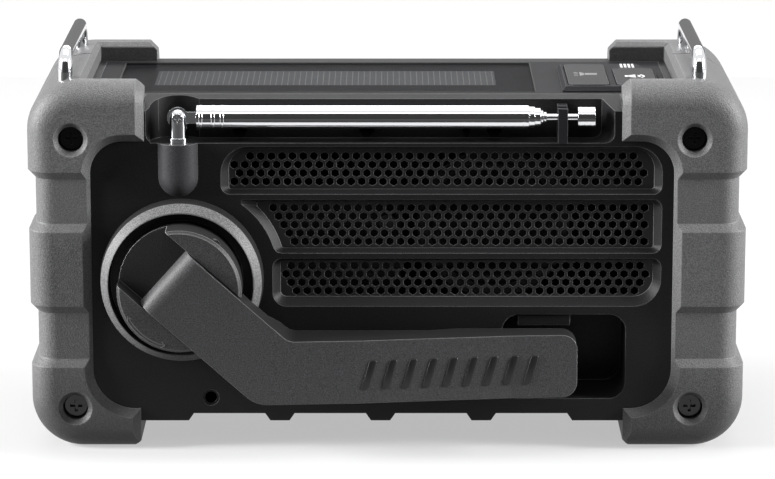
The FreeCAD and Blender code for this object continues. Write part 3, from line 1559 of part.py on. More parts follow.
def gear(axis_across, teeth, start, width, bore, turn):
    """A spur wheel with straight-flanked teeth; turn sets the angle of its first tooth."""
    module = value("gear_module")
    count = int(value(teeth))
    pitch = module * count / 2
    root, tip = pitch - value("tooth_root") * module, pitch + value("tooth_tip") * module
    angle = 2 * math.pi / count
    thick_root, thick_tip = value("tooth_root_width") * angle, value("tooth_tip_width") * angle
    points = []
    for index in range(count):
        middle = turn + index * angle
        for radius, shift in ((root, -thick_root / 2), (tip, -thick_tip / 2),
                              (tip, thick_tip / 2), (root, thick_root / 2)):
            points.append((radius * math.cos(middle + shift), radius * math.sin(middle + shift)))
    x, z = value(axis_across[0]), value(axis_across[1])
    low, high = value(start), value(f"({start}) + ({width})")
    corners = [FreeCAD.Vector(x + u, low, z + v) for u, v in points]
    wheel = Part.Face(Part.makePolygon(corners + corners[:1])).extrude(FreeCAD.Vector(0, high - low, 0))
    hole = Part.makeCylinder(value(bore), high - low, FreeCAD.Vector(x, low, z), FreeCAD.Vector(0, 1, 0))
    return feature(wheel.cut(hole))


IDLER = ("(crank_x + gear_module * (drive_teeth + idler_pinion_teeth) / 2)", "crank_z")
ROTOR = (f"({IDLER[0]} + gear_module * (idler_wheel_teeth + rotor_teeth) / 2)", "crank_z")


def half_tooth(teeth):
    """The turn that puts a gap, not a tooth, on the side that faces left."""
    count = int(value(teeth))
    return math.pi - math.pi / count


def drive_gear():
    return piece("drive_gear", gear(CRANK, "drive_teeth", behind("drive_gear_depth"),
                                    "drive_gear_width", "crank_shaft_radius", 0.0))


def crank_shaft():
    end = "rear_plate_depth + gear_plate_thickness"
    return piece("crank_shaft", rod("y", CRANK, "crank_shaft_radius", FACE, behind(end)))


def idler_gear():
    """A small and a large wheel cut in one with their shaft."""
    pinion = gear(IDLER, "idler_pinion_teeth", behind("drive_gear_depth - gear_overlap"),
                  "idler_wheel_depth - drive_gear_depth + gear_overlap", "idler_shaft_radius",
                  half_tooth("idler_pinion_teeth"))
    wheel = gear(IDLER, "idler_wheel_teeth", behind("idler_wheel_depth"), "idler_wheel_width",
                 "idler_shaft_radius", 0.0)
    shaft = rod("y", IDLER, "idler_shaft_radius", behind("front_plate_depth"),
                behind("rear_plate_depth + gear_plate_thickness"))
    return piece("idler_gear", joined(pinion, wheel, shaft))


def rotor_pinion():
    return piece("rotor_pinion", gear(ROTOR, "rotor_teeth", behind("idler_wheel_depth - gear_overlap"),
                                      "idler_wheel_width + 2 * gear_overlap", "rotor_shaft_radius",
                                      half_tooth("rotor_teeth")))


DYNAMO_FRONT = "(rear_plate_depth + gear_plate_thickness)"


def dynamo_rotor():
    """The magnet drum on its shaft."""
    start = f"{DYNAMO_FRONT} + dynamo_wall + rotor_gap"
    end = f"{DYNAMO_FRONT} + dynamo_length - dynamo_wall - rotor_gap"
    drum = rod("y", ROTOR, "dynamo_radius - dynamo_wall - rotor_gap", behind(start), behind(end))
    shaft = rod("y", ROTOR, "rotor_shaft_radius", behind("idler_wheel_depth - gear_overlap"),
                behind(f"{DYNAMO_FRONT} + dynamo_length"))
    return piece("dynamo_rotor", joined(drum, shaft))


def dynamo_case():
    """A closed can round the rotor, with a bearing hole at each end."""
    end = f"{DYNAMO_FRONT} + dynamo_length"
    can = rod("y", ROTOR, "dynamo_radius", behind(DYNAMO_FRONT), behind(end))
    space = rod("y", ROTOR, "dynamo_radius - dynamo_wall", behind(f"{DYNAMO_FRONT} + dynamo_wall"),
                behind(f"{end} - dynamo_wall"))
    bore = rod("y", ROTOR, "rotor_shaft_radius + running_gap", behind(DYNAMO_FRONT), behind(end))
    return piece("dynamo_case", less(can, space, bore))


def gear_plate_span():
    return (("gear_plate_left", "gear_plate_right"),
            ("crank_z - gear_plate_half_height", "crank_z + gear_plate_half_height"))


def plate_corners():
    inset = "plate_post_inset"
    return [(x, z) for x in (f"gear_plate_left + {inset}", f"gear_plate_right - {inset}")
            for z in (f"crank_z - gear_plate_half_height + {inset}",
                      f"crank_z + gear_plate_half_height - {inset}")]


def gear_plate(label, depth, post_starts, bores):
    """A plate that carries the shafts, on four posts towards the face."""
    x, z = gear_plate_span()
    plate = block(x, (behind(depth), behind(f"{depth} + gear_plate_thickness")), z)
    posts = [rod("y", place, "plate_post_radius", behind(start), behind(depth))
             for place, start in zip(plate_corners(), post_starts)]
    holes = [rod("y", place, radius, behind(depth), behind(f"{depth} + gear_plate_thickness"))
             for place, radius in bores]
    return piece(label, less(joined(plate, *posts), *holes))


def front_gear_plate():
    starts = ["wall", "wall", "wall", SPEAKER_FRONT]
    bores = [(CRANK, "crank_shaft_radius + running_gap"), (IDLER, "idler_shaft_radius + running_gap")]
    return gear_plate("front_gear_plate", "front_plate_depth", starts, bores)


def rear_gear_plate():
    starts = ["front_plate_depth + gear_plate_thickness"] * 4
    bores = [(CRANK, "crank_shaft_radius + running_gap"), (IDLER, "idler_shaft_radius + running_gap"),
             (ROTOR, "rotor_shaft_radius + running_gap")]
    return gear_plate("rear_gear_plate", "rear_plate_depth", starts, bores)


# Telescopic antenna

MAST_AXIS = (behind("antenna_depth"), "antenna_z")
SLOT_HALF = "(knuckle_thickness / 2 + ear_gap)"
HEAD_SEAT = behind("antenna_depth - post_radius + antenna_head_sink")
HEAD_TOP = behind("antenna_depth - post_radius - antenna_head_height")


def antenna_post():
    """The chrome post on the boss: a flange and a round-topped pillar with a slot across it."""
    place = ("antenna_x", behind("antenna_depth"))
    flange = rod("z", place, "post_flange_radius", "trough_floor", "trough_floor + post_flange_height")
    pillar = rod("z", place, "post_radius", "trough_floor", "antenna_z")
    dome = doc.addObject("Part::Sphere", "dome")
    bind(dome, Radius="post_radius", x=place[0], y=place[1], z="antenna_z")
    wide = "(post_radius + overshoot)"
    slot = block((f"antenna_x - {wide}", f"antenna_x + {wide}"),
                 (behind(f"antenna_depth - {SLOT_HALF}"), behind(f"antenna_depth + {SLOT_HALF}")),
                 ("antenna_z - knuckle_radius - ear_gap", f"antenna_z + {wide}"))
    bore = rod("y", ("antenna_x", "antenna_z"), "antenna_pin_radius", HEAD_SEAT,
               behind("antenna_depth + post_radius"))
    seat = rod("y", ("antenna_x", "antenna_z"), "antenna_head_radius", HEAD_TOP, HEAD_SEAT)
    return piece("antenna_post", less(joined(flange, pillar, dome), slot, bore, seat))


def antenna_screw():
    """The screw that the mast lifts on, with a cross in its head."""
    axis = ("antenna_x", "antenna_z")
    shank = rod("y", axis, "antenna_pin_radius", HEAD_SEAT, behind("antenna_depth + post_radius"))
    head = rod("y", axis, "antenna_head_radius", HEAD_TOP, HEAD_SEAT)
    depth = (HEAD_TOP, f"({HEAD_TOP} + head_slot_depth)")
    long_half, thin_half = "head_slot_half_length", "head_slot_half_width"
    cross = [block((f"antenna_x - {wide}", f"antenna_x + {wide}"), depth,
                   (f"antenna_z - {tall}", f"antenna_z + {tall}"))
             for wide, tall in ((long_half, thin_half), (thin_half, long_half))]
    return piece("antenna_screw", less(joined(shank, head), *cross))


def mast_knuckle():
    """The flat eye between the ears, and the plug that closes the first tube."""
    half = "knuckle_thickness / 2"
    y = (behind(f"antenna_depth - {half}"), behind(f"antenna_depth + {half}"))
    eye = rod("y", ("antenna_x", "antenna_z"), "knuckle_radius", *y)
    tang = block(("antenna_x", "antenna_x + mast_start + plug_length / 2"), y,
                 ("antenna_z - tang_half_height", "antenna_z + tang_half_height"))
    plug = rod("x", MAST_AXIS, "mast_radius - section_wall", "antenna_x + mast_start",
               "antenna_x + mast_start + plug_length")
    bore = rod("y", ("antenna_x", "antenna_z"), "antenna_pin_radius + running_gap", *y)
    return piece("mast_knuckle", less(joined(eye, tang, plug), bore))


def section_radius(index):
    """Outer radius of a tube; each one slides in the one before it."""
    return f"(mast_radius - {index} * (section_wall + section_gap))"


def section_start(index):
    """Where an inner tube's lower end lies, clear of the plug and of the tube before it."""
    return f"(antenna_x + mast_start + plug_length + {index})"


def mast_section(index):
    """One tube of the mast; the inner ones stand a little further out."""
    outer = section_radius(index)
    inner = f"({outer} - section_wall)"
    start = section_start(index) if index else "antenna_x + mast_start"
    end = f"(antenna_x + mast_end + {index} * section_step)"
    tube = rod("x", MAST_AXIS, outer, start, end)
    return piece(f"mast_section_{index + 1}", less(tube, rod("x", MAST_AXIS, inner, start, end)))


def mast_rod():
    """The thin last rod, its guide inside the last tube, and the tip cap."""
    guide_radius = section_radius("mast_count")
    start = section_start("mast_count")
    guide = rod("x", MAST_AXIS, guide_radius, start, f"{start} + rod_guide_length")
    bar = rod("x", MAST_AXIS, "rod_radius", start, "antenna_x + rod_end")
    cap = rod("x", MAST_AXIS, "cap_radius", "antenna_x + rod_end", "antenna_x + rod_end + cap_length")
    return piece("mast_rod", joined(guide, bar, cap))


def antenna_clip():
    """An open-topped clip that the thin rod of the folded mast drops into."""
    x = ("clip_x - clip_width / 2", "clip_x + clip_width / 2")
    front = "0 - clip_front_proud"
    prong = block(x, (behind(front), behind(f"{front} + clip_prong")), ("trough_floor", "clip_top"))
    rear = block(x, (behind("antenna_depth + rod_radius + clip_gap"), behind("trough_depth")),
                 ("trough_floor", "clip_top"))
    base = block(x, (behind(front), behind("trough_depth")), ("trough_floor", "trough_floor + clip_prong"))
    return piece("antenna_clip", joined(prong, rear, base))


# Top panel

TOP_KEYS = ["torch_key", "call_key"]


def key_opening(name, low, high, grow):
    """The space of one top key, grown by a gap all round."""
    return rounded_slab((f"{name}_left - {grow}", f"{name}_right + {grow}"),
                        (behind(f"{name}_front - {grow}"), behind(f"{name}_rear + {grow}")),
                        (low, high), "key_corner")


def lamp_bars(low, high):
    """Four small light bars in a row."""
    left = [f"lamp_strip_x + {index} * lamp_pitch" for index in range(int(value("lamp_count")))]
    return [block((x, f"{x} + lamp_width"), (behind("lamp_strip_front"), behind("lamp_strip_rear")),
                  (low, high)) for x in left]


KEY_STOP = f"({PANEL_BOTTOM} - key_flange_gap - key_flange_thickness)"
KEY_BOARD_TOP = f"({KEY_STOP} - key_travel - key_stop_gap)"
KEY_BOARD_X = ("torch_key_left - key_board_margin", "panel_right - key_board_edge")
KEY_BOARD_Y = (behind("panel_front + key_board_edge"), behind("panel_rear - frame_margin"))


def top_panel():
    """The plate between the bumpers, with beds for the glass, the cells, the keys and the lamps."""
    plate = block(("panel_left", "panel_right"), (behind("panel_front"), behind("panel_rear")),
                  (PANEL_BOTTOM, "housing_top"))
    inset = "key_post_inset"
    posts = [rod("z", (x, y), "key_post_radius", KEY_BOARD_TOP, PANEL_BOTTOM)
             for x in (f"{KEY_BOARD_X[0]} + {inset}", f"{KEY_BOARD_X[1]} - {inset}")
             for y in (f"{KEY_BOARD_Y[0]} + {inset}", f"{KEY_BOARD_Y[1]} - {inset}")]
    glass = block(("solar_left", "solar_right"), (behind("solar_front"), behind("solar_rear")),
                  ("housing_top - glass_thickness", "housing_top + overshoot"))
    cells = block(("cell_left", "cell_right"), (behind("cell_front"), behind("cell_rear")),
                  ("housing_top - glass_thickness - cell_thickness", "housing_top"))
    keys = [key_opening(name, f"{PANEL_BOTTOM} - overshoot", "housing_top + overshoot", "key_gap")
            for name in TOP_KEYS]
    lamps = lamp_bars(PANEL_BOTTOM, "housing_top + overshoot")
    return piece("top_panel", less(joined(plate, *posts), glass, cells, *keys, *lamps))


def solar_cells():
    x, y = ("cell_left", "cell_right"), (behind("cell_front"), behind("cell_rear"))
    top = "(housing_top - glass_thickness)"
    return piece("solar_cells", block(x, y, (f"{top} - cell_thickness", top)))


def solar_glass():
    return piece("solar_glass", block(("solar_left", "solar_right"),
                                      (behind("solar_front"), behind("solar_rear")),
                                      ("housing_top - glass_thickness", "housing_top")))


def keypad_frame():
    """The low raised island round the keys, with one cut-off corner at its wide end."""
    left, right = "torch_key_left - frame_margin", "call_key_right + frame_edge"
    front, rear = "torch_key_front - frame_margin", "lamp_strip_rear + frame_margin"
    neck = "call_key_left - frame_margin"
    side = "torch_key_rear + frame_margin"
    points = [(left, behind(front)), (right, behind(front)),
              (right, behind("call_key_rear - frame_cut_length")),
              (f"{right} - frame_cut_width", behind(rear)), (neck, behind(rear)),
              (f"{neck} - 2 * frame_margin", behind(side)), (left, behind(side))]
    island = extruded(points, "housing_top", "housing_top + frame_rise", "XY_Plane")
    top = value("housing_top + frame_rise")

    def rim(edge_line):
        box = edge_line.BoundBox
        return max(box.ZLength, abs(box.ZMin - top)) < 1e-3

    bevelled(island, "frame_bevel", rim)
    keys = [key_opening(name, "housing_top - overshoot", "housing_top + key_rise + overshoot", "key_gap")
            for name in TOP_KEYS]
    lamps = lamp_bars("housing_top - overshoot", "housing_top + key_rise + overshoot")
    return piece("keypad_frame", less(island, *keys, *lamps))


def charge_lamps():
    return piece("charge_lamps", group(*lamp_bars(PANEL_BOTTOM, "housing_top + lamp_rise")))


def top_key(name):
    """A key cap with a flange under the panel that keeps it in."""
    flange_top = f"{PANEL_BOTTOM} - key_flange_gap"
    cap = key_opening(name, flange_top, "housing_top + key_rise", "0")
    flange = key_opening(name, KEY_STOP, flange_top, "key_flange_reach")
    return piece(name, joined(cap, flange))


def key_board():
    """The small board under the top keys."""
    return piece("key_board", block(KEY_BOARD_X, KEY_BOARD_Y,
                                    (f"{KEY_BOARD_TOP} - key_board_thickness", KEY_BOARD_TOP)))


# Display side

BOARD_BACK = "(board_depth + board_thickness)"


def display_window():
    x, z = ("window_left", "window_right"), ("window_low", "window_high")
    y = (behind("display_face_depth - window_thickness"), DISPLAY_FACE)
    return piece("display_window", rounded_block(x, y, z, "window_corner"))


def display_module():
    """The display and its frame, from the window back to the main board."""
    inset = "display_inset"
    front = "(display_face_depth - window_thickness)"
    glass = block((f"window_left + {inset}", f"window_right - {inset}"),
                  (behind(f"{front} - display_thickness"), behind(front)),
                  (f"window_low + {inset}", f"window_high - {inset}"))
    foot = f"({inset} + 2 * display_foot_radius)"
    rear = f"{front} - display_thickness"
    feet = [rod("y", (x, z), "display_foot_radius", behind(BOARD_BACK), behind(rear))
            for x in (f"window_left + {foot}", f"window_right - {foot}")
            for z in (f"window_low + {foot}", f"window_high - {foot}")]
    return piece("display_module", joined(glass, *feet))


KEY_NAMES = ["key_power", "key_band", "key_down", "key_up"]


def display_key(index):
    """A small key with a flange behind the wall and a stem towards its switch."""
    x = key_x(index)
    flange_rear = "(display_face_depth - wall - key_flange_gap)"
    flange_front = f"({flange_rear} - key_flange_thickness)"

    def slab(grow, start, end):
        return block((f"{x} - small_key_width / 2 - {grow}", f"{x} + small_key_width / 2 + {grow}"),
                     (behind(start), behind(end)),
                     (f"small_key_z - small_key_height / 2 - {grow}",
                      f"small_key_z + small_key_height / 2 + {grow}"))

    cap = slab("0", flange_rear, "display_face_depth + small_key_proud")
    flange = slab("key_flange_reach", flange_front, flange_rear)
    tip = f"({BOARD_BACK} + switch_height + small_key_travel + key_flange_gap)"
    stem = rod("y", (x, "small_key_z"), "small_key_stem / 2", behind(tip), behind(flange_front))
    return piece(KEY_NAMES[index], joined(cap, flange, stem))


DIAL = ("knob_dial_x", "knob_dial_z")


def dial_encoder():
    """The rotary encoder on the board, with a threaded collar through the wall."""
    half = "encoder_width / 2"
    top = f"({BOARD_BACK} + encoder_height)"
    body = block((f"knob_dial_x - {half}", f"knob_dial_x + {half}"), (behind(BOARD_BACK), behind(top)),
                 (f"knob_dial_z - {half}", f"knob_dial_z + {half}"))
    collar = rod("y", DIAL, "dial_bushing_radius", behind(top), DISPLAY_FACE)
    bore = rod("y", DIAL, "dial_shaft_radius + running_gap", behind(f"{BOARD_BACK} + encoder_floor"),
               DISPLAY_FACE)
    return piece("dial_encoder", less(joined(body, collar), bore))


def tuning_dial():
    """A round knob with a sloping skirt and a finger dimple, on the shaft that turns the encoder."""
    start = behind("display_face_depth + dial_gap")
    top = "(dial_proud - dial_gap)"
    profile = [("0", "0"), ("dial_radius", "0"), ("dial_radius", "dial_skirt"),
               ("dial_radius - dial_skirt", "dial_skirt * 1.5"),
               ("dial_radius - 2 * dial_skirt", f"{top} - dial_skirt"),
               ("dial_radius - 3 * dial_skirt", top), ("0", top)]
    knob = turned(profile, "y", DIAL, start)
    shaft = rod("y", DIAL, "dial_shaft_radius", behind(f"{BOARD_BACK} + encoder_floor + dial_gap"), start)
    dimple = rod("y", ("knob_dial_x", "knob_dial_z + dimple_offset"), "dimple_radius",
                 behind("display_face_depth + dial_proud - dimple_depth"),
                 behind("display_face_depth + dial_proud + overshoot"))
    return piece("tuning_dial", less(joined(knob, shaft), dimple))


# Boards, battery, sockets and lamp

def main_board():
    """The main board with a switch behind each small key."""
    board = block(("board_left", "board_right"), (behind("board_depth"), behind(BOARD_BACK)),
                  ("board_low", "board_high"))
    half = "switch_width / 2"
    switches = [block((f"{key_x(index)} - {half}", f"{key_x(index)} + {half}"),
                      (behind(BOARD_BACK), behind(f"{BOARD_BACK} + switch_height")),
                      (f"small_key_z - {half}", f"small_key_z + {half}"))
                for index in range(len(KEY_NAMES))]
    return piece("main_board", joined(board, *switches))


BATTERY = (behind("cell_axis_depth"), "cell_axis_z")


def battery_cell():
    """A round lithium cell with its raised end."""
    end = "(holder_left + holder_wall + cell_body_length)"
    can = rod("x", BATTERY, "cell_body_radius", "holder_left + holder_wall", end)
    cap = rod("x", BATTERY, "cell_tip_radius", end, f"{end} + cell_tip_length")
    return piece("battery_cell", joined(can, cap))


def battery_holder():
    """A cradle with two end walls that stands on the floor of the housing."""
    end = "(holder_left + 2 * holder_wall + cell_body_length + cell_tip_length)"
    radius = "(cell_body_radius + holder_wall)"
    cradle = block(("holder_left", end), (behind(f"cell_axis_depth - {radius}"),
                                          behind(f"cell_axis_depth + {radius}")),
                   (INNER_FLOOR, "cell_axis_z + holder_lip"))
    space = rod("x", BATTERY, "cell_body_radius", "holder_left + holder_wall", f"{end} - holder_wall")
    return piece("battery_holder", less(cradle, space))


def headphone_jack():
    body = rod("y", ("jack_x", "jack_z"), "jack_body_radius", behind("wall"), behind("wall + jack_length"))
    nose = rod("y", ("jack_x", "jack_z"), "jack_hole_radius", behind("jack_inset"), behind("wall"))
    bore = rod("y", ("jack_x", "jack_z"), "jack_bore_radius", behind("jack_inset"),
               behind("wall + jack_length - jack_end"))
    return piece("headphone_jack", less(joined(body, nose), bore))


def side_sockets():
    """Two flat sockets in the left wall, each a shell with an open mouth."""
    made = []
    for index in range(int(value("socket_count"))):
        z = socket_span(index)
        outside = block(("0 - housing_half_width", "0 - housing_half_width + socket_body"), SOCKET_Y, z)
        mouth = block(("0 - housing_half_width", "0 - housing_half_width + socket_body - 2 * socket_wall"),
                      (f"{SOCKET_Y[0]} + socket_wall", f"{SOCKET_Y[1]} - socket_wall"),
                      (f"{z[0]} + socket_wall", f"{z[1]} - socket_wall"))
        made.append(less(outside, mouth))
    return piece("side_sockets", group(*made))


COVER_X = "(0 - housing_half_width - cover_standoff)"
COVER_HINGE = (COVER_X, "cover_low + 2 * cover_gap + cover_hinge_radius")


def socket_cover():
    """A rubber flap over the side sockets, hinged along its lower edge."""
    y = (behind("cover_front + cover_gap"), behind("cover_rear - cover_gap"))
    hinge_z = COVER_HINGE[1]
    plate = block((f"{COVER_X} - cover_thickness / 2", f"{COVER_X} + cover_thickness / 2"), y,
                  (hinge_z, "cover_high - cover_gap"))
    barrel = rod("y", COVER_HINGE, "cover_hinge_radius", *y)
    lip = block((f"{COVER_X} - cover_thickness / 2 - cover_lip", f"{COVER_X} - cover_thickness / 2"), y,
                ("cover_high - cover_gap - cover_lip_height", "cover_high - cover_gap"))
    bore = rod("y", COVER_HINGE, "cover_pin_radius + running_gap", *y)
    return piece("socket_cover", less(joined(plate, barrel, lip), bore))


def cover_pin():
    return piece("cover_pin", rod("y", COVER_HINGE, "cover_pin_radius", behind("cover_front - cover_pin_end"),
                                  behind("cover_rear + cover_pin_end")))


def torch_lens():
    """A clear disc in the right wall."""
    return piece("torch_lens", rod("x", TORCH, "torch_radius", "housing_half_width - wall",
                                   "housing_half_width"))


def torch_reflector():
    """A bright open cone behind the lens, closed at its foot by the lamp and its round board."""
    start = f"({INNER_SIDE} - torch_reflector_length)"
    outside = taper("x", TORCH, "torch_foot_radius", "torch_radius", start, INNER_SIDE)
    inside = taper("x", TORCH, "torch_foot_radius - torch_wall", "torch_radius - torch_wall",
                   f"{start} + torch_wall", INNER_SIDE)
    board = rod("x", TORCH, "torch_foot_radius + torch_wall", f"{start} - board_thickness", start)
    lamp = rod("x", TORCH, "lamp_radius", start, f"{start} + 2 * torch_wall")
    return piece("torch_reflector", joined(less(outside, inside), board, lamp))


# Build every piece, check it and write it

def build_all():
    bumper(-1, "bumper_left", "left_frame_edge", "left_arm_end", "left_foot_end")
    bumper(1, "bumper_right", "right_frame_edge", "right_arm_end", "right_foot_end")
    strap_bar(-1, "strap_bar_left")
    strap_bar(1, "strap_bar_right")
    for make in (bumper_screws, crank_side_housing, display_side_housing, speaker_grille, speaker_basket,
                 speaker_cone, speaker_magnet, crank_bezel, crank_drum, crank_hinge_pin, crank_arm,
                 knob_pin, knob_axle, crank_knob, drive_gear, crank_shaft, idler_gear, rotor_pinion,
                 dynamo_rotor, dynamo_case, front_gear_plate, rear_gear_plate, antenna_post,
                 antenna_screw, mast_knuckle, mast_rod, antenna_clip, top_panel, solar_cells,
                 solar_glass, keypad_frame, charge_lamps, key_board, display_window, display_module,
                 dial_encoder, tuning_dial, main_board, battery_cell, battery_holder, headphone_jack,
                 side_sockets, socket_cover, cover_pin, torch_lens, torch_reflector):
        make()
    for index in range(int(value("mast_count"))):
        mast_section(index)
    for name in TOP_KEYS:
        top_key(name)
    for index in range(len(KEY_NAMES)):
        display_key(index)


def write_all():
    doc.recompute()
    failed = [item.Label for item in doc.Objects if {"Invalid", "Error"} & set(item.State)]
    failed += [label for label, item in PIECES.items() if item.Shape.isNull() or not item.Shape.isValid()]
    if failed:
        raise RuntimeError("these did not build: " + ", ".join(failed))
    os.makedirs("parts", exist_ok=True)
    for label, item in PIECES.items():
        item.Shape.exportStep(f"parts/{label}.step")
        print(label, len(item.Shape.Solids), round(item.Shape.Volume, 1))


build_all()
write_all()
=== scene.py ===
import math

import bpy
import numpy as np
from bpy.props import FloatProperty, FloatVectorProperty, IntProperty, PointerProperty
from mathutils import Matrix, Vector


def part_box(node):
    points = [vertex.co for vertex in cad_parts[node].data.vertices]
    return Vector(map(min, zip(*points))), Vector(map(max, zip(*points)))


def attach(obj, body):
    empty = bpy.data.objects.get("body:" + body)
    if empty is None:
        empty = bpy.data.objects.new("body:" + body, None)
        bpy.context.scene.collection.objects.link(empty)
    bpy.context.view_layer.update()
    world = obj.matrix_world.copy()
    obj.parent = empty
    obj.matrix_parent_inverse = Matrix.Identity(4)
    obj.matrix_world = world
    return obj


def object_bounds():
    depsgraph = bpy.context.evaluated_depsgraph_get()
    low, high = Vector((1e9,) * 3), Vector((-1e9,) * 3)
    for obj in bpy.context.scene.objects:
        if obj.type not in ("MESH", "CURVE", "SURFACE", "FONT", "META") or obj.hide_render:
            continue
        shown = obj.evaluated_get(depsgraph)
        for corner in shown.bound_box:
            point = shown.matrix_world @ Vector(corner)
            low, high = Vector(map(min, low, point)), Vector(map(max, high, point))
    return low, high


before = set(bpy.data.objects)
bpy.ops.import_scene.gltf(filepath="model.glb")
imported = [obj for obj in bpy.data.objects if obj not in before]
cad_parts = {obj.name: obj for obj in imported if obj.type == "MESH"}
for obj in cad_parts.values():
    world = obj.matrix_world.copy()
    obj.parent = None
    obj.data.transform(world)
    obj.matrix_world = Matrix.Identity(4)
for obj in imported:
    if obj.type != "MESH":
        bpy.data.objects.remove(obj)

bl_info = {
    "name": "Portable Radio Dressing",
    "version": (1, 0, 0),
    "blender": (4, 5, 0),
    "location": "View3D > Sidebar > Radio",
    "description": "Finishes and fine pieces for a crank radio, on its packed model",
    "category": "Object",
}

MM = 0.001
CAD_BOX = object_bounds()
FACE_DEPTH = 19.0  # how far the crank-side face lies behind the foremost point of the folded crank, in mm
FACE = CAD_BOX[0].y + FACE_DEPTH * MM
CRANK_X, CRANK_Z = -60.1, 51.3  # where the crank's axis runs, in mm
CRANK_SLOPE = math.radians(41.8)  # how steeply the arm's barrel runs down from there
ARM_FACE = ((-35.4, 19.0), (-9.0, 17.2), (36.0, 11.2), (56.3, 10.0))  # places along the arm, and how proud
HALF_TURN = np.linspace(0, math.pi, 9)  # the steps of a half-round rim or ring


# Shaders

class Wire:
    """A shader socket that sums can be written with."""

    def __init__(self, shader, socket):
        self.shader = shader
        self.socket = socket

    def sum(self, operation, first, second=0.0):
        return self.shader.out("Math", {"operation": operation}, {0: first, 1: second}, "Value")

    def __add__(self, other):
        return self.sum("ADD", self, other)

    def __radd__(self, other):
        return self.sum("ADD", other, self)

    def __sub__(self, other):
        return self.sum("SUBTRACT", self, other)

    def __rsub__(self, other):
        return self.sum("SUBTRACT", other, self)

    def __mul__(self, other):
        return self.sum("MULTIPLY", self, other)

    def __rmul__(self, other):
        return self.sum("MULTIPLY", other, self)

    def __truediv__(self, other):
        return self.sum("DIVIDE", self, other)

    def __pow__(self, other):
        return self.sum("POWER", self, other)

    def lesser(self, other):
        return self.sum("MINIMUM", self, other)

    def greater(self, other):
        return self.sum("MAXIMUM", self, other)

    def fraction(self):
        """What is left after the whole number is taken away."""
        return self.sum("FRACT", self)

    def above(self, other):
        """One where this is more than the other, and nought elsewhere."""
        return self.sum("GREATER_THAN", self, other)

    def size(self):
        """The value without its sign."""
        return self.sum("ABSOLUTE", self)

    def clamped(self):
        """The value kept between nought and one."""
        return self.shader.out("Clamp", {}, {"Value": self}, "Result")

    def step(self):
        """Nought below nought, and one from a quarter up."""
        return (self * 4.0).clamped()


class Shader:
    """A material, or the world, and the nodes that are put into it."""

    def __init__(self, name, world=None):
        self.material = world or bpy.data.materials.new(name)
        self.material.use_nodes = True
        self.tree = self.material.node_tree
        self.tree.nodes.clear()
        self.output = self.tree.nodes.new("ShaderNodeOutput" + ("World" if world else "Material"))

    def add(self, kind, settings, values):
        """A node: its settings first, then the values or links of its sockets."""
        node = self.tree.nodes.new("ShaderNode" + kind)
        for name, setting in settings.items():
            setattr(node, name, setting)
        for key, item in values.items():
            if isinstance(item, Wire):
                self.tree.links.new(item.socket, node.inputs[key])
            else:
                node.inputs[key].default_value = item
        return node

    def out(self, kind, settings, values, output):
        """One output of a new node."""
        return Wire(self, self.add(kind, settings, values).outputs[output])

    def place(self):
        return self.out("TexCoord", {}, {}, "Object")

    def axes(self):
        """The three coordinates of the object, in metres."""
        split = self.add("SeparateXYZ", {}, {"Vector": self.place()})
        return [Wire(self, split.outputs[name]) for name in "XYZ"]

    def noise(self, size, detail, place=None, rough=0.5):
        """Soft noise whose features are about the given size."""
        values = {"Vector": place or self.place(), "Scale": 1 / size, "Detail": detail,
                  "Roughness": rough}
        return self.out("TexNoise", {}, values, "Fac")

    def cells(self, size):
        """Distance from the middles in a field of small cells."""
        return self.out("TexVoronoi", {}, {"Vector": self.place(), "Scale": 1 / size}, "Distance")

    def tint(self, share, plain, other):
        """A colour between two, by a share."""
        node = self.add("Mix", {"data_type": "RGBA"}, {0: share, 6: plain, 7: other})
        return Wire(self, node.outputs[2])

    def soft_edge(self, radius):
        """The normal with its edges rounded off, and how far it turns there, from nought to one."""
        rounded = self.out("Bevel", {"samples": 4}, {"Radius": radius}, "Normal")
        plain = self.out("NewGeometry", {}, {}, "Normal")
        turn = self.out("VectorMath", {"operation": "DOT_PRODUCT"}, {0: rounded, 1: plain}, "Value")
        return rounded, ((1 - turn) * 7.0).clamped()

    def bump(self, height, depth, strength, normal):
        """The normal with fine relief added to it."""
        values = {"Height": height, "Distance": depth, "Strength": strength, "Normal": normal}
        return self.out("Bump", {}, values, "Normal")

    def close(self, values):
        """The surface of the material, from its main sockets."""
        surface = self.out("BsdfPrincipled", {}, values, "BSDF")
        self.tree.links.new(surface.socket, self.output.inputs["Surface"])
        return self.material


def shade(colour, factor):
    """A colour made lighter or darker by a factor."""
    return tuple(min(1.0, part * factor) for part in colour[:3]) + (1.0,)


def grey(level):
    """A colour without a hue."""
    return (level, level, level)


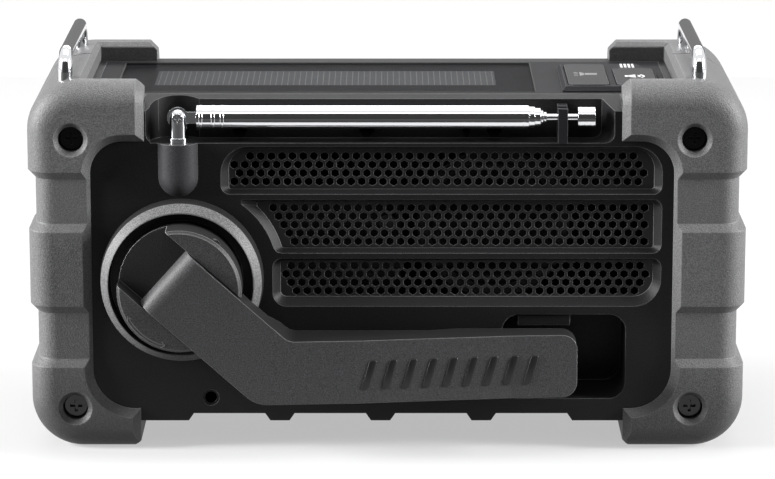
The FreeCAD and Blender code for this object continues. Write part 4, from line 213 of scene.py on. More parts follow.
def moulded(name, colour, rough=0.5, grain=0.4, depth=0.01, edge=0.2, lift=0.2, speckle=0.1, sheen=0.4,
            cover=None, shadow=0.3):
    """Moulded plastic or rubber: pebbled grain, rounded edges with a painted highlight, and fine light and
    dark specks.

    The grain's size and depth and the radius of the edges are in millimetres. cover gives the share of a
    second shade, which is the colour times shadow: darker as painted shade on walls and feet, and lighter as
    the boss's own colour.
    """
    s = Shader(name)
    normal, turn = s.soft_edge(edge * MM)
    grain *= MM
    pebbles = s.cells(grain) * 0.6 + s.noise(grain * 0.8, 2.0) * 0.7
    specks = ((s.noise(grain * 0.7, 2.0) - 0.5) * 4.0 + 0.5).clamped()
    clouds = s.noise(0.03, 2.0)
    face = s.tint(specks, shade(colour, 1 - speckle), shade(colour, 1 + 1.3 * speckle))
    # Painted shade: a darker copy of the colour where the mask is set; on the boss the copy is lighter, its
    # own colour.
    if cover:
        deep = s.tint(specks, shade(colour, shadow * (1 - speckle)), shade(colour, shadow * (1 + speckle)))
        face = s.tint(cover(s), face, deep)
    # Painted highlight: the rounded edges are made lighter in colour, by turn times lift.
    painted_edge_highlight = s.tint(turn * lift, face, tuple(part * 1.5 + 0.22 for part in colour[:3]) + (1.0,))
    return s.close({
        "Base Color": painted_edge_highlight,
        "Roughness": rough + (clouds - 0.5) * 0.12 - turn * 0.12,
        "Specular IOR Level": sheen,
        "Normal": s.bump(pebbles, depth * MM, 1.0, normal),
    })


def proud_of_face(s):
    """How far a point stands before the crank-side face, in millimetres."""
    return (FACE - s.axes()[1]) / MM


def painted_arm_shade(s):
    """Painted shade on the side walls of the crank arm: whatever lies behind its sloping face, past the
    barrel.
    """
    x, _, z = s.axes()
    across, up = x / MM, z / MM
    lines = []
    for (left, high), (right, low) in zip(ARM_FACE[:-1], ARM_FACE[1:]):
        slope = (low - high) / (right - left)
        lines.append(across * slope + (high - slope * left))
    face = lines[0].lesser(lines[1]).lesser(ARM_FACE[0][1]).greater(lines[2])
    along = (across - CRANK_X) * math.cos(CRANK_SLOPE) - (up - CRANK_Z) * math.sin(CRANK_SLOPE)
    rounding, barrel = 0.3, 0.5
    return (face - proud_of_face(s) - rounding).step() * along.above(barrel)


def painted_drum_shade(s):
    """Painted shade on all of the crank's drum that lies behind the faces of its two ears."""
    ears = 17.4
    return (ears - proud_of_face(s)).step()


def painted_ring_shade(s):
    """Painted shade on the inner wall of the ring round the crank, and on what lies behind its front."""
    x, _, z = s.axes()
    wall, front = 21.5, 5.2
    reach = ((x / MM - CRANK_X) ** 2 + (z / MM - CRANK_Z) ** 2) ** 0.5
    return (wall - reach).step().greater((front - proud_of_face(s)).step())


def painted_bumper_shade(s):
    """Painted shade on the rear arms' sides that look on to the top panel, and darker towards each bumper's
    foot.
    """
    x, y, z = s.axes()
    arm_depth, arm_reach, foot_top, foot_fade = 68.0, 88.0, 26.0, 20.0
    near = (0.25 - ((y - FACE) / MM - arm_depth).size()) * 8.0
    arms = near.clamped() * (1 - (x / MM).size().above(arm_reach))
    return arms.greater(((foot_top - z / MM) / foot_fade).clamped() * 0.75)


def boss(s):
    """The rubbery boss under the antenna, which stands before the face."""
    return (proud_of_face(s) - 0.1).step()


def polished(name, colour, rough, scratch):
    """Bright metal with fine lengthwise scratches in its polish."""
    s = Shader(name)
    edge = 0.15 * MM
    normal, turn = s.soft_edge(edge)
    stretched = s.out("Mapping", {}, {"Vector": s.place(), "Scale": (0.06, 1.0, 1.0)}, "Vector")
    fine = s.noise(0.0002, 3.0, stretched)
    return s.close({
        "Base Color": s.tint(s.noise(0.006, 2.0) * 0.25, shade(colour, 1.0), shade(colour, 0.86)),
        "Metallic": 1.0,
        "Roughness": rough + (fine - 0.5) * scratch + turn * 0.05,
        "Normal": s.bump(fine, 0.000004, 0.3, normal),
    })


def glazed(name, colour, alpha, rough):
    """A clear sheet or moulding with a hard glossy face."""
    s = Shader(name)
    smears = s.noise(0.012, 3.0)
    return s.close({
        "Base Color": s.tint(smears * 0.3, shade(colour, 1.0), shade(colour, 1.3)),
        "Roughness": rough + smears * 0.04,
        "Alpha": alpha,
        "Specular IOR Level": 0.12,
    })


def dress(material, *nodes):
    """Give CAD nodes their finish."""
    for node in nodes:
        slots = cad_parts[node].data.materials
        slots.clear()
        slots.append(material)


# Surfaces

def quads(index):
    """Faces between the neighbouring rows and columns of a grid of point numbers."""
    corners = np.stack([index[:-1, :-1], index[:-1, 1:], index[1:, 1:], index[1:, :-1]], -1)
    return corners.reshape(-1, 4).tolist()


def surface(name, points, material):
    """An open mesh through a grid of points."""
    index = np.arange(points[..., 0].size).reshape(points.shape[:2])
    return mesh(name, points.reshape(-1, 3), quads(index), material)


def mesh(name, points, faces, material):
    """A smooth-shaded piece from points in metres and its faces."""
    data = bpy.data.meshes.new(name)
    data.from_pydata(np.asarray(points, float).tolist(), [], faces)
    data.materials.append(material)
    data.polygons.foreach_set("use_smooth", np.ones(len(data.polygons), bool))
    data.validate()
    made = bpy.data.objects.new(name, data)
    bpy.context.scene.collection.objects.link(made)
    data.set_sharp_from_angle(angle=math.radians(35))
    return made


def lathe(profile, centre, steps=64):
    """Points turned about an axis along X: each profile row is a place along it and a radius, in metres."""
    along, radius = np.asarray(profile, float).T
    turn = np.linspace(0, 2 * math.pi, steps, endpoint=False)
    points = np.empty((len(along), steps, 3))
    points[..., 0] = along[:, None]
    points[..., 1] = centre[1] + radius[:, None] * np.cos(turn)
    points[..., 2] = centre[2] + radius[:, None] * np.sin(turn)
    return points


def merged(parts, rings=False):
    """Points and faces of several grids put together, each grid closed round its columns.

    The first and last rows of a grid are capped, or joined to each other in a ring.
    """
    points, faces, start = [], [], 0
    for grid in parts:
        rows, columns = grid.shape[:2]
        index = np.arange(rows * columns).reshape(rows, columns) + start
        loop = np.vstack([index, index[:1]]) if rings else index
        faces += quads(np.hstack([loop, loop[:, :1]]))
        if not rings:
            faces += [index[0][::-1].tolist(), index[-1].tolist()]
        points.append(grid.reshape(-1, 3))
        start += rows * columns
    return np.vstack(points), faces


def slab(outline, low, high, edge):
    """A flat shape with a softened rim: its outline at the foot, up to the rim and drawn in on top."""
    outline = np.asarray(outline, float)
    before, after = np.roll(outline, 1, 0), np.roll(outline, -1, 0)
    along = after - before
    along /= np.linalg.norm(along, axis=1)[:, None]
    inward = np.stack([-along[:, 1], along[:, 0]], 1)
    rings = [(outline, low), (outline, high - edge), (outline + inward * edge * 0.4, high - edge * 0.3),
             (outline + inward * edge, high)]
    return np.stack([np.column_stack([ring, np.full(len(ring), level)]) for ring, level in rings])


def bar_outline(left, right, low, high, radius, steps=6):
    """A rectangle with round corners, run anticlockwise."""
    turn = np.linspace(0, math.pi / 2, steps)
    corners = [(right - radius, high - radius, 0), (left + radius, high - radius, 1),
               (left + radius, low + radius, 2), (right - radius, low + radius, 3)]
    arcs = []
    for x, z, quarter in corners:
        angle = turn + quarter * math.pi / 2
        arcs.append(np.column_stack([x + radius * np.cos(angle), z + radius * np.sin(angle)]))
    return np.vstack(arcs)


def stroke(start, end, width, steps=5):
    """A straight line with round ends, run anticlockwise."""
    start, end = np.asarray(start, float), np.asarray(end, float)
    lean = math.atan2(*(end - start)[::-1])
    turn = lean + np.linspace(-math.pi / 2, math.pi / 2, steps)
    ahead = width / 2 * np.column_stack([np.cos(turn), np.sin(turn)])
    return np.vstack([end + ahead, start - ahead])


def arc_band(centre, radius, width, first, last, steps=24):
    """A strip that follows part of a circle, run anticlockwise; angles in degrees."""
    turn = np.radians(np.linspace(first, last, steps))
    way = np.column_stack([np.cos(turn), np.sin(turn)])
    return np.asarray(centre) + np.vstack([way * (radius + width / 2), (way * (radius - width / 2))[::-1]])


def wound(points):
    """Corners in anticlockwise order."""
    points = np.asarray(points, float)
    ahead = np.roll(points, -1, 0)
    area = (points[:, 0] * ahead[:, 1] - ahead[:, 0] * points[:, 1]).sum()
    return points if area > 0 else points[::-1]


# For each side, the ways across, up and out of it, as that side is faced.
SIDES = {
    "front": ((1, 0, 0), (0, 0, 1), (0, -1, 0)),
    "back": ((-1, 0, 0), (0, 0, 1), (0, 1, 0)),
    "top": ((1, 0, 0), (0, 1, 0), (0, 0, 1)),
    "left": ((0, -1, 0), (0, 0, 1), (-1, 0, 0)),
}


def raised(name, side, level, outlines, material, body, rise=0.08, edge=0.05, foot=0.05):
    """Flat shapes on one side of the radio, which stands at a level in metres.

    The outlines run across and up as that side is faced. They, the rise, the edge and the depth of the
    foot are in millimetres.
    """
    turn = np.asarray(SIDES[side], float)
    grids = [slab(wound(outline), -foot, rise, edge) @ turn for outline in outlines]
    points, faces = merged(grids)
    points = points * MM + turn[2] * level
    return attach(mesh(name, points, faces, material), body)


def middle_of(node):
    """The middle of a CAD node, in millimetres."""
    low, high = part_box(node)
    return (low + high) / 2 / MM


def digits(text, left, low, height, width):
    """Seven-segment figures, as strokes; a point or a colon takes less room."""
    bars = {"0": "abcdef", "1": "bc", "2": "abged", "3": "abgcd", "4": "fgbc",
            "5": "afgcd", "6": "afgedc", "7": "abc", "8": "abcdefg", "9": "abcdfg"}
    half, wide = height / 2, height * 0.5
    gap = width * 0.62
    ends = {"a": ((gap, height), (wide - gap, height)), "b": ((wide, height - gap), (wide, half + gap)),
            "c": ((wide, half - gap), (wide, gap)), "d": ((gap, 0), (wide - gap, 0)),
            "e": ((0, half - gap), (0, gap)), "f": ((0, height - gap), (0, half + gap)),
            "g": ((gap, half), (wide - gap, half))}
    points = {".": (0,), ":": (height * 0.3, height * 0.7)}
    made = []
    for sign in text:
        if sign in points:
            dot = left - wide * 0.12
            made += [stroke((dot, low + z), (dot + 0.1, low + z), width) for z in points[sign]]
            left += wide * 0.24
            continue
        for bar in bars[sign]:
            (x0, z0), (x1, z1) = ends[bar]
            made.append(stroke((left + x0, low + z0), (left + x1, low + z1), width))
        left += wide * 1.55
    return made


# Sizes and colours that can be changed

class RadioColours(bpy.types.PropertyGroup):
    rubber: FloatVectorProperty(
        name="Rubber", description="Colour of the corner bumpers", subtype="COLOR", size=3,
        default=(0.128, 0.128, 0.13))
    housing: FloatVectorProperty(
        name="Housing", description="Colour of both housing halves", subtype="COLOR", size=3,
        default=(0.014, 0.014, 0.015))
    ring: FloatVectorProperty(
        name="Crank ring", description="Colour of the ring round the crank", subtype="COLOR", size=3,
        default=(0.13, 0.13, 0.132))
    crank: FloatVectorProperty(
        name="Crank", description="Colour of the crank arm and drum", subtype="COLOR", size=3,
        default=(0.052, 0.052, 0.054))
    panel: FloatVectorProperty(
        name="Top panel", description="Colour of the top panel", subtype="COLOR", size=3,
        default=(0.024, 0.024, 0.026))
    chrome: FloatVectorProperty(
        name="Chrome", description="Colour of the plated metal", subtype="COLOR", size=3,
        default=(0.80, 0.81, 0.83))


class RadioStage(bpy.types.PropertyGroup):
    distance: FloatProperty(
        name="Distance", description="From the camera to what it looks at", default=1.0816, unit="LENGTH")
    tilt: FloatProperty(
        name="Tilt", description="How far the camera looks down", default=math.radians(12.55),
        unit="ROTATION")
    aim_height: FloatProperty(
        name="Aim height", description="Height of the point the camera looks at", default=0.063,
        unit="LENGTH")
    lens: FloatProperty(
        name="Lens", description="Focal length on a 36 mm sensor", default=172.05, unit="CAMERA")
    top_light: FloatProperty(
        name="Top light", description="Power of the light above", default=8.0, unit="POWER")
    side_light: FloatProperty(
        name="Side lights", description="Power of the left light, and nearly that of the right one",
        default=40.0, unit="POWER")
    front_light: FloatProperty(
        name="Front light", description="Power of the front light", default=6.0, unit="POWER")
    back_light: FloatProperty(
        name="Back light", description="Power of the light behind", default=6.0, unit="POWER")
    surround: FloatProperty(
        name="Surround", description="Strength of the even light from all round", default=0.08, min=0.0)


class RadioMast(bpy.types.PropertyGroup):
    ring_pitch: FloatProperty(
        name="Ring pitch", description="Distance between the crimped rings", default=0.95 * MM,
        unit="LENGTH")
    collar_count: IntProperty(name="Collars", description="Rolled rings on the widest tube", default=3, min=1)


class RadioCrank(bpy.types.PropertyGroup):
    grip_count: IntProperty(name="Grip bars", description="Bars across the crank arm", default=9, min=2)
    grip_width: FloatProperty(
        name="Bar width", description="Width of one grip bar", default=2.4 * MM, unit="LENGTH")
    grip_lean: FloatProperty(
        name="Bar lean", description="How far each bar leans over its height", default=2.6 * MM,
        unit="LENGTH")


# Operators

class RADIO_OT_mouldings(bpy.types.Operator):
    """Finish the rubber and plastic mouldings"""
    bl_idname = "radio.mouldings"
    bl_label = "Mouldings"

    def execute(self, context):
        c = context.scene.radio_colours
        dress(moulded("bumper_rubber", c.rubber, grain=0.42, depth=0.10, edge=0.5, lift=0.45, speckle=0.3,
                      cover=painted_bumper_shade), "bumper_left", "bumper_right")
        shell = {"rough": 0.45, "grain": 0.5, "depth": 0.03, "edge": 0.3, "speckle": 0.2}
        dress(moulded("housing_plastic", c.housing, lift=1.0, sheen=0.16, cover=boss, shadow=3.4, **shell),
              "crank_side_housing")
        dress(moulded("back_plastic", c.housing, lift=0.8, sheen=0.25, **shell), "display_side_housing")
        dress(moulded("ring_plastic", c.ring, grain=0.5, depth=0.06, edge=0.35, lift=0.4, speckle=0.4,
                      cover=painted_ring_shade, shadow=0.12), "crank_bezel")
        lever = {"grain": 0.45, "depth": 0.05, "edge": 0.3, "speckle": 0.4}
        dress(moulded("drum_plastic", c.crank, lift=1.4, cover=painted_drum_shade, **lever), "crank_drum")
        dress(moulded("arm_plastic", c.crank, lift=1.4, cover=painted_arm_shade, shadow=0.22, **lever), "crank_arm")
        dress(moulded("knob_plastic", c.crank, lift=0.6, **lever), "crank_knob")
        dress(moulded("panel_plastic", c.panel, rough=0.42, depth=0.012, edge=0.3, lift=0.7, sheen=0.05),
              "top_panel", "keypad_frame", "socket_cover", "antenna_clip", "tuning_dial")
        dress(moulded("key_rubber", c.panel, rough=0.6, grain=0.3, edge=0.4, lift=0.4, sheen=0.3),
              "torch_key", "call_key", "key_power", "key_band", "key_down", "key_up")
        return {"FINISHED"}


class RADIO_OT_metals(bpy.types.Operator):
    """Finish the plated and bare metal parts"""
    bl_idname = "radio.metals"
    bl_label = "Metals"

    def execute(self, context):
        c = context.scene.radio_colours
        dress(polished("chrome_plate", c.chrome, rough=0.07, scratch=0.05),
              "strap_bar_left", "strap_bar_right", "antenna_post", "antenna_screw", "mast_knuckle",
              "mast_section_1", "mast_section_2", "mast_section_3", "mast_rod")
        dress(polished("pin_steel", (0.45, 0.45, 0.46), rough=0.3, scratch=0.1),
              "crank_hinge_pin", "knob_pin", "knob_axle", "crank_shaft", "cover_pin", "rotor_pinion")
        dress(moulded("screw_steel", grey(0.003), rough=0.18, grain=0.3, depth=0.004, edge=0.15, lift=0.25),
              "bumper_screws")
        dress(moulded("grille_metal", grey(0.013), rough=0.42, grain=0.25, depth=0.005, lift=1.8),
              "speaker_grille")
        dress(moulded("speaker_iron", (0.006, 0.006, 0.007), rough=0.7, grain=0.5, edge=0.3, lift=0.05),
              "speaker_basket", "speaker_magnet", "dynamo_case", "dynamo_rotor")
        return {"FINISHED"}


class RADIO_OT_insides(bpy.types.Operator):
    """Finish the boards, gears, cell and other inner parts"""
    bl_idname = "radio.insides"
    bl_label = "Insides"

    def execute(self, context):
        dress(moulded("speaker_paper", grey(0.02), rough=0.85, grain=0.8, depth=0.05, edge=0.3),
              "speaker_cone")
        dress(moulded("gear_plastic", grey(0.02), rough=0.45, grain=0.5),
              "drive_gear", "idler_gear", "front_gear_plate", "rear_gear_plate")
        dress(moulded("board_laminate", (0.006, 0.02, 0.01), rough=0.4, grain=0.5, lift=0.3),
              "main_board", "key_board", "dial_encoder", "battery_holder")
        dress(moulded("battery_wrap", (0.02, 0.05, 0.22), rough=0.35, grain=0.8, depth=0.005, edge=0.3),
              "battery_cell")
        dress(moulded("socket_plastic", grey(0.004), lift=0.05, sheen=0.2), "headphone_jack", "side_sockets")
        dress(polished("mirror_plastic", (0.85, 0.86, 0.88), rough=0.12, scratch=0.04), "torch_reflector")
        return {"FINISHED"}


class RADIO_OT_glazing(bpy.types.Operator):
    """Finish the solar panel, the window, the lens and the lamps"""
    bl_idname = "radio.glazing"
    bl_label = "Glazing"

    def execute(self, context):
        dress(glazed("solar_film", (0.012, 0.013, 0.015), alpha=0.26, rough=0.12), "solar_glass")
        dress(glazed("window_clear", (0.02, 0.02, 0.022), alpha=0.25, rough=0.05), "display_window")
        dress(glazed("lens_clear", (0.6, 0.62, 0.65), alpha=0.3, rough=0.05), "torch_lens")
        dress(self.lamps(), "charge_lamps")
        dress(self.silicon(), "solar_cells")
        dress(self.display(), "display_module")
        return {"FINISHED"}

    def silicon(self):
        """Dark cells with fine light fingers along Y, at even places along X."""
        s = Shader("solar_silicon")
        x, _, _ = s.axes()
        pitch = 1.75 * MM
        finger = ((x / pitch).fraction() - 0.5).size().above(0.44)
        mottled = s.noise(0.004, 3.0)
        cell = s.tint(mottled, (0.11, 0.113, 0.12, 1), (0.14, 0.143, 0.15, 1))
        return s.close({
            "Base Color": s.tint(finger, cell, (0.34, 0.345, 0.35, 1)),
            "Roughness": 0.4 + finger * 0.1,
            "Specular IOR Level": 0.1,
        })

    def lamps(self):
        """Frosted white bars."""
        s = Shader("lamp_clear")
        return s.close({
            "Base Color": s.tint(s.noise(0.0006, 2.0) * 0.2, (0.85, 0.86, 0.88, 1), (0.6, 0.6, 0.62, 1)),
            "Roughness": 0.35,
            "Emission Color": (1, 1, 1, 1),
            "Emission Strength": 0.15,
        })

    def display(self):
        """Grey-green glass of a plain segment display."""
        s = Shader("display_glass")
        haze = s.noise(0.01, 2.0)
        return s.close({
            "Base Color": s.tint(haze, (0.20, 0.24, 0.18, 1), (0.24, 0.28, 0.21, 1)),
            "Roughness": 0.2,
        })


def round_piece(node):
    """The middle, the radius and the far end of a round CAD node that lies along X."""
    low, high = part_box(node)
    return (low + high) / 2, (high.z - low.z) / 2, high.x


class RADIO_OT_mast_rings(bpy.types.Operator):
    """Roll collars on the widest tube of the mast"""
    bl_idname = "radio.mast_rings"
    bl_label = "Mast rings"

    def execute(self, context):
        chrome = bpy.data.materials["chrome_plate"]
        centre, radius, _ = round_piece("mast_section_1")
        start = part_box("mast_section_1")[0].x
        places = np.array([1.2, 4.8, 7.4])[:context.scene.radio_mast.collar_count] * MM
        half_width, sunk, rise = 0.55 * MM, 0.05 * MM, 0.22 * MM
        collars = []
        for place in places + start:
            along = place + half_width * -np.cos(HALF_TURN)
            collars.append(lathe(np.column_stack([along, radius - sunk + rise * np.sin(HALF_TURN)]), centre))
        points, faces = merged(collars)
        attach(mesh("mast_collars", points, faces, chrome), "mast_base")
        return {"FINISHED"}


class RADIO_OT_mast_mouths(bpy.types.Operator):
    """Crimp each tube's mouth down over the next in a row of rings"""
    bl_idname = "radio.mast_mouths"
    bl_label = "Mast mouths"

    def execute(self, context):
        pitch = context.scene.radio_mast.ring_pitch
        chrome = bpy.data.materials["chrome_plate"]
        centre, _, _ = round_piece("mast_rod")
        proud, rise = 0.05 * MM, 0.35 * MM
        # The tube, the body that carries it, and how far each ring is drawn in.
        for count, body, drops in ((1, "mast_base", (0.0, 0.3)), (2, "mast_middle", (0.0, 0.3)),
                                   (3, "mast_upper", (0.0, 0.35, 0.8, 1.2))):
            _, radius, end = round_piece(f"mast_section_{count}")
            rings = []
            for step, drop in enumerate(drops):
                outer = radius + proud - drop * MM
                start = end - (2 - step) * pitch
                along = start + pitch * (1 - np.cos(HALF_TURN)) / 2
                rings.append(lathe(np.column_stack([along, outer - rise + rise * np.sin(HALF_TURN)]), centre))
            points, faces = merged(rings)
            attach(mesh(f"mast_mouth_{count}", points, faces, chrome), body)
        return {"FINISHED"}


class RADIO_OT_mast_tip(bpy.types.Operator):
    """Turn two grooves and a rounded rim on the tip of the mast"""
    bl_idname = "radio.mast_tip"
    bl_label = "Mast tip"

    def execute(self, context):
        centre, radius, end = round_piece("mast_rod")
        radius += 0.03 * MM
        groove, crown = 0.94, 0.35
        bands = []
        for start, width in ((-5.0, 1.5), (-3.4, 1.5), (-1.8, 1.78)):
            along = end + start * MM + width * MM * (1 - np.cos(HALF_TURN)) / 2
            rounded = radius * (groove + (1 - groove) * np.sin(HALF_TURN) ** crown)
            bands.append(lathe(np.column_stack([along, rounded]), centre))
        points, faces = merged(bands)
        made = mesh("mast_tip_bands", points, faces, bpy.data.materials["chrome_plate"])
        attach(made, "mast_tip")
        return {"FINISHED"}


class RADIO_OT_grip_bars(bpy.types.Operator):
    """Lay a row of leaning grip bars along the crank arm's sloping face"""
    bl_idname = "radio.grip_bars"
    bl_label = "Grip bars"

    def execute(self, context):
        crank = context.scene.radio_crank
        rubber = moulded("grip_rubber", grey(0.006), rough=0.4, lift=0.3)
        left, right, low, high, corner = (size * MM for size in (-6.5, 43.0, 22.1, 30.9, 0.9))
        sunk, rise, edge = 0.10 * MM, 0.28 * MM, 0.22 * MM
        starts = np.linspace(left, right - crank.grip_width, crank.grip_count)
        places, depths = np.asarray(ARM_FACE).T * MM
        parts = []
        for start in starts:
            outline = bar_outline(start, start + crank.grip_width, low, high, corner)
            outline[:, 0] += crank.grip_lean * ((outline[:, 1] - (low + high) / 2) / (high - low))
            x, z, out = np.moveaxis(slab(outline, -sunk, rise, edge), -1, 0)
            parts.append(np.stack([x, FACE - np.interp(x, places, depths) - out, z], -1))
        points, faces = merged(parts)
        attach(mesh("grip_bars", points, faces, rubber), "folding_arm")
        return {"FINISHED"}


class RADIO_OT_turn_arrow(bpy.types.Operator):
    """Draw a fine double-headed arrow on the lower ear of the crank's drum"""
    bl_idname = "radio.turn_arrow"
    bl_label = "Turn arrow"

    def execute(self, context):
        line = moulded("arrow_plastic", grey(0.14), rough=0.4, edge=0.1)
        radius, width, first, last = 16.4, 0.3, 206.0, 256.0
        ears, barb_length, barb_spread = 17.6, 1.3, 0.8
        centre = np.array([CRANK_X, CRANK_Z])
        shapes = [arc_band(centre, radius, width, first, last)]
        for angle, way in ((first, 1), (last, -1)):
            turn = math.radians(angle)
            out = np.array([math.cos(turn), math.sin(turn)])
            back = np.array([-out[1], out[0]]) * way
            tip = centre + out * radius
            shapes += [stroke(tip, tip + back * barb_length + out * side * barb_spread, width)
                       for side in (-1, 1)]
        level = ears * MM - FACE
        raised("turn_arrow", "front", level, shapes, line, "crank_hub",
               rise=0.06, edge=0.04)
        return {"FINISHED"}


class RADIO_OT_key_marks(bpy.types.Operator):
    """Raise a small torch and a small horn on the two top keys"""
    bl_idname = "radio.key_marks"
    bl_label = "Key marks"

    def execute(self, context):
        plain = moulded("mark_grey", grey(0.22), edge=0.05, lift=0.1)
        white = moulded("mark_white", grey(0.85), edge=0.05, lift=0.0)
        line, rays = 0.55, (-2.0, 0.0, 2.0)
        torch = [bar_outline(-0.4, 3.2, -1.5, 1.5, 0.3)]
        torch += [[(-0.6, -1.5), (-0.6, 1.5), (-2.0, 3.0), (-2.0, -3.0)]]
        torch += [stroke((-2.7, y), (-3.5, y * 1.3), line) for y in rays]
        horn = [bar_outline(-2.9, -1.7, -1.1, 1.1, 0.2)]
        horn += [[(-1.6, -1.1), (0.3, -2.4), (0.3, 2.4), (-1.6, 1.1)]]
        horn += [arc_band((-0.4, 0), radius, line, -45, 45, 10) for radius in (2.0, 3.2)]
        for node, body, shapes, material in (("torch_key", "torch_button", torch, plain),
                                             ("call_key", "call_button", horn, white)):
            x, y, _ = middle_of(node)
            placed = [np.asarray(shape) + (x, y) for shape in shapes]
            raised(f"{node}_mark", "top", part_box(node)[1].z, placed, material, body)
        return {"FINISHED"}


class RADIO_OT_film_trim(bpy.types.Operator):
    """Edge the solar film with a narrow seal"""
    bl_idname = "radio.film_trim"
    bl_label = "Film trim"

    def execute(self, context):
        seal = moulded("seal_rubber", grey(0.004), rough=0.6, edge=0.1, lift=0.0)
        low, high = (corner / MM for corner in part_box("solar_glass"))
        half, rounding = 0.25, 0.1
        shapes = [bar_outline(low.x - half, high.x + half, y - half, y + half, rounding)
                  for y in (low.y, high.y)]
        shapes += [bar_outline(x - half, x + half, low.y + half, high.y - half, rounding)
                   for x in (low.x, high.x)]
        raised("film_trim", "top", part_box("solar_glass")[1].z, shapes, seal, "chassis")
        return {"FINISHED"}


class RADIO_OT_display_marks(bpy.types.Operator):
    """Show figures on the display and put a symbol on each small key"""
    bl_idname = "radio.display_marks"
    bl_label = "Display marks"

    def execute(self, context):
        ink = moulded("display_ink", (0.012, 0.014, 0.012), rough=0.4, depth=0.005, edge=0.05, lift=0.0)
        low, high = (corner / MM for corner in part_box("display_module"))
        left, foot = -high.x + 5.0, low.z + 4.0
        right, upper = left + 38.0, foot + 15.0
        shapes = digits("98.5", left, foot, height=14.0, width=1.6)
        shapes += digits("12:30", right, upper, height=6.0, width=0.7)
        pitch, wide, lowest, growth = 2.6, 1.8, 2.0, 1.6
        for n in range(5):
            start = right + pitch * n
            shapes.append(bar_outline(start, start + wide, foot, foot + lowest + growth * n, 0.1))
        raised("display_figures", "back", high.y * MM, shapes, ink, "chassis",
               rise=0.04, edge=0.02, foot=0.02)
        white = bpy.data.materials["mark_white"]
        ring = arc_band((0, 0), 1.7, 0.4, 130, 410, 20)
        symbols = {
            "key_power": ("power_button", [ring, stroke((0, 0.5), (0, 2.2), 0.4)]),
            "key_band": ("band_button", [stroke((-1.8, z), (1.8, z), 0.45) for z in (-1.2, 0.0, 1.2)]),
            "key_down": ("down_button", [[(-1.8, 1.1), (0, -1.5), (1.8, 1.1)]]),
            "key_up": ("up_button", [[(-1.8, -1.1), (1.8, -1.1), (0, 1.5)]]),
        }
        for node, (body, shapes) in symbols.items():
            x, _, z = middle_of(node)
            placed = [np.asarray(shape) + (-x, z) for shape in shapes]
            raised(f"{node}_mark", "back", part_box(node)[1].y, placed, white, body)
        return {"FINISHED"}


class RADIO_OT_dial_trim(bpy.types.Operator):
    """Rib the tuning dial's rim, give it a pointer and set a scale of ticks round it"""
    bl_idname = "radio.dial_trim"
    bl_label = "Dial trim"

    def execute(self, context):
        low, high = (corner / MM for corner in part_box("tuning_dial"))
        x, _, z = middle_of("tuning_dial")
        centre = np.array([-x, z])
        radius = (high.x - low.x) / 2
        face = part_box("display_side_housing")[1].y
        inner, outer, half_width = -0.4, 0.35, 0.48
        ribs = []
        for angle in np.radians(np.arange(0, 360, 9.0)):
            out = np.array([math.cos(angle), math.sin(angle)])
            side = np.array([-out[1], out[0]]) * half_width
            near, far = centre + out * (radius + inner), centre + out * (radius + outer)
            ribs.append([near - side, far - side, far + side, near + side])
        plastic = bpy.data.materials["panel_plastic"]
        top = high.y - face / MM - 0.5
        raised("dial_ribs", "back", face, ribs, plastic, "dial",
               rise=top, edge=0.2, foot=-0.8)
        white = bpy.data.materials["mark_white"]
        pointer = [stroke(centre + (0, 9.0), centre + (0, 14.5), 0.8)]
        raised("dial_pointer", "back", high.y * MM, pointer, white, "dial",
               rise=0.1, edge=0.06)
        start, long_tick, short_tick = radius + 1.8, 2.2, 1.2
        ticks = []
        for count, angle in enumerate(np.radians(np.linspace(-40, 220, 27))):
            out = np.array([math.cos(angle), math.sin(angle)])
            reach = short_tick if count % 2 else long_tick
            ticks.append(stroke(centre + out * start, centre + out * (start + reach), 0.35))
        raised("dial_scale", "back", face, ticks, white, "chassis", rise=0.06, edge=0.04)
        return {"FINISHED"}


class RADIO_OT_side_trim(bpy.types.Operator):
    """Put a finger grip on the socket cover and ring steps on the lamp's lens"""
    bl_idname = "radio.side_trim"
    bl_label = "Side trim"

    def execute(self, context):
        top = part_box("socket_cover")[1].z / MM
        _, middle, _ = middle_of("socket_cover")
        left, right = -middle - 7.0, -middle + 7.0
        first, pitch, half_width = 3.5, 2.2, 0.45
        ribs = [bar_outline(left, right, z - half_width, z + half_width, 0.4)
                for z in top - np.arange(3) * pitch - first]
        plastic = bpy.data.materials["panel_plastic"]
        raised("cover_grip", "left", -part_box("socket_cover")[0].x, ribs, plastic, "flap",
               rise=0.35, edge=0.25, foot=0.1)
        low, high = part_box("torch_lens")
        centre = (low + high) / 2
        half_width, rise, sunk, steps = 0.5, 0.22, 0.05, 48
        wave = np.linspace(0, math.pi, 7)
        turn = np.linspace(0, 2 * math.pi, steps, endpoint=False)
        out = np.repeat(high.x + (rise * np.sin(wave)[:, None] - sunk) * MM, steps, 1)
        rings = []
        for radius in (3.0, 5.2, 7.4):
            across = (radius + half_width * np.cos(wave)[:, None]) * MM
            y, z = centre.y + across * np.cos(turn), centre.z + across * np.sin(turn)
            rings.append(np.stack([out, y, z], -1))
        points, faces = merged(rings, rings=True)
        lens = bpy.data.materials["lens_clear"]
        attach(mesh("lens_rings", points, faces, lens), "chassis")
        return {"FINISHED"}


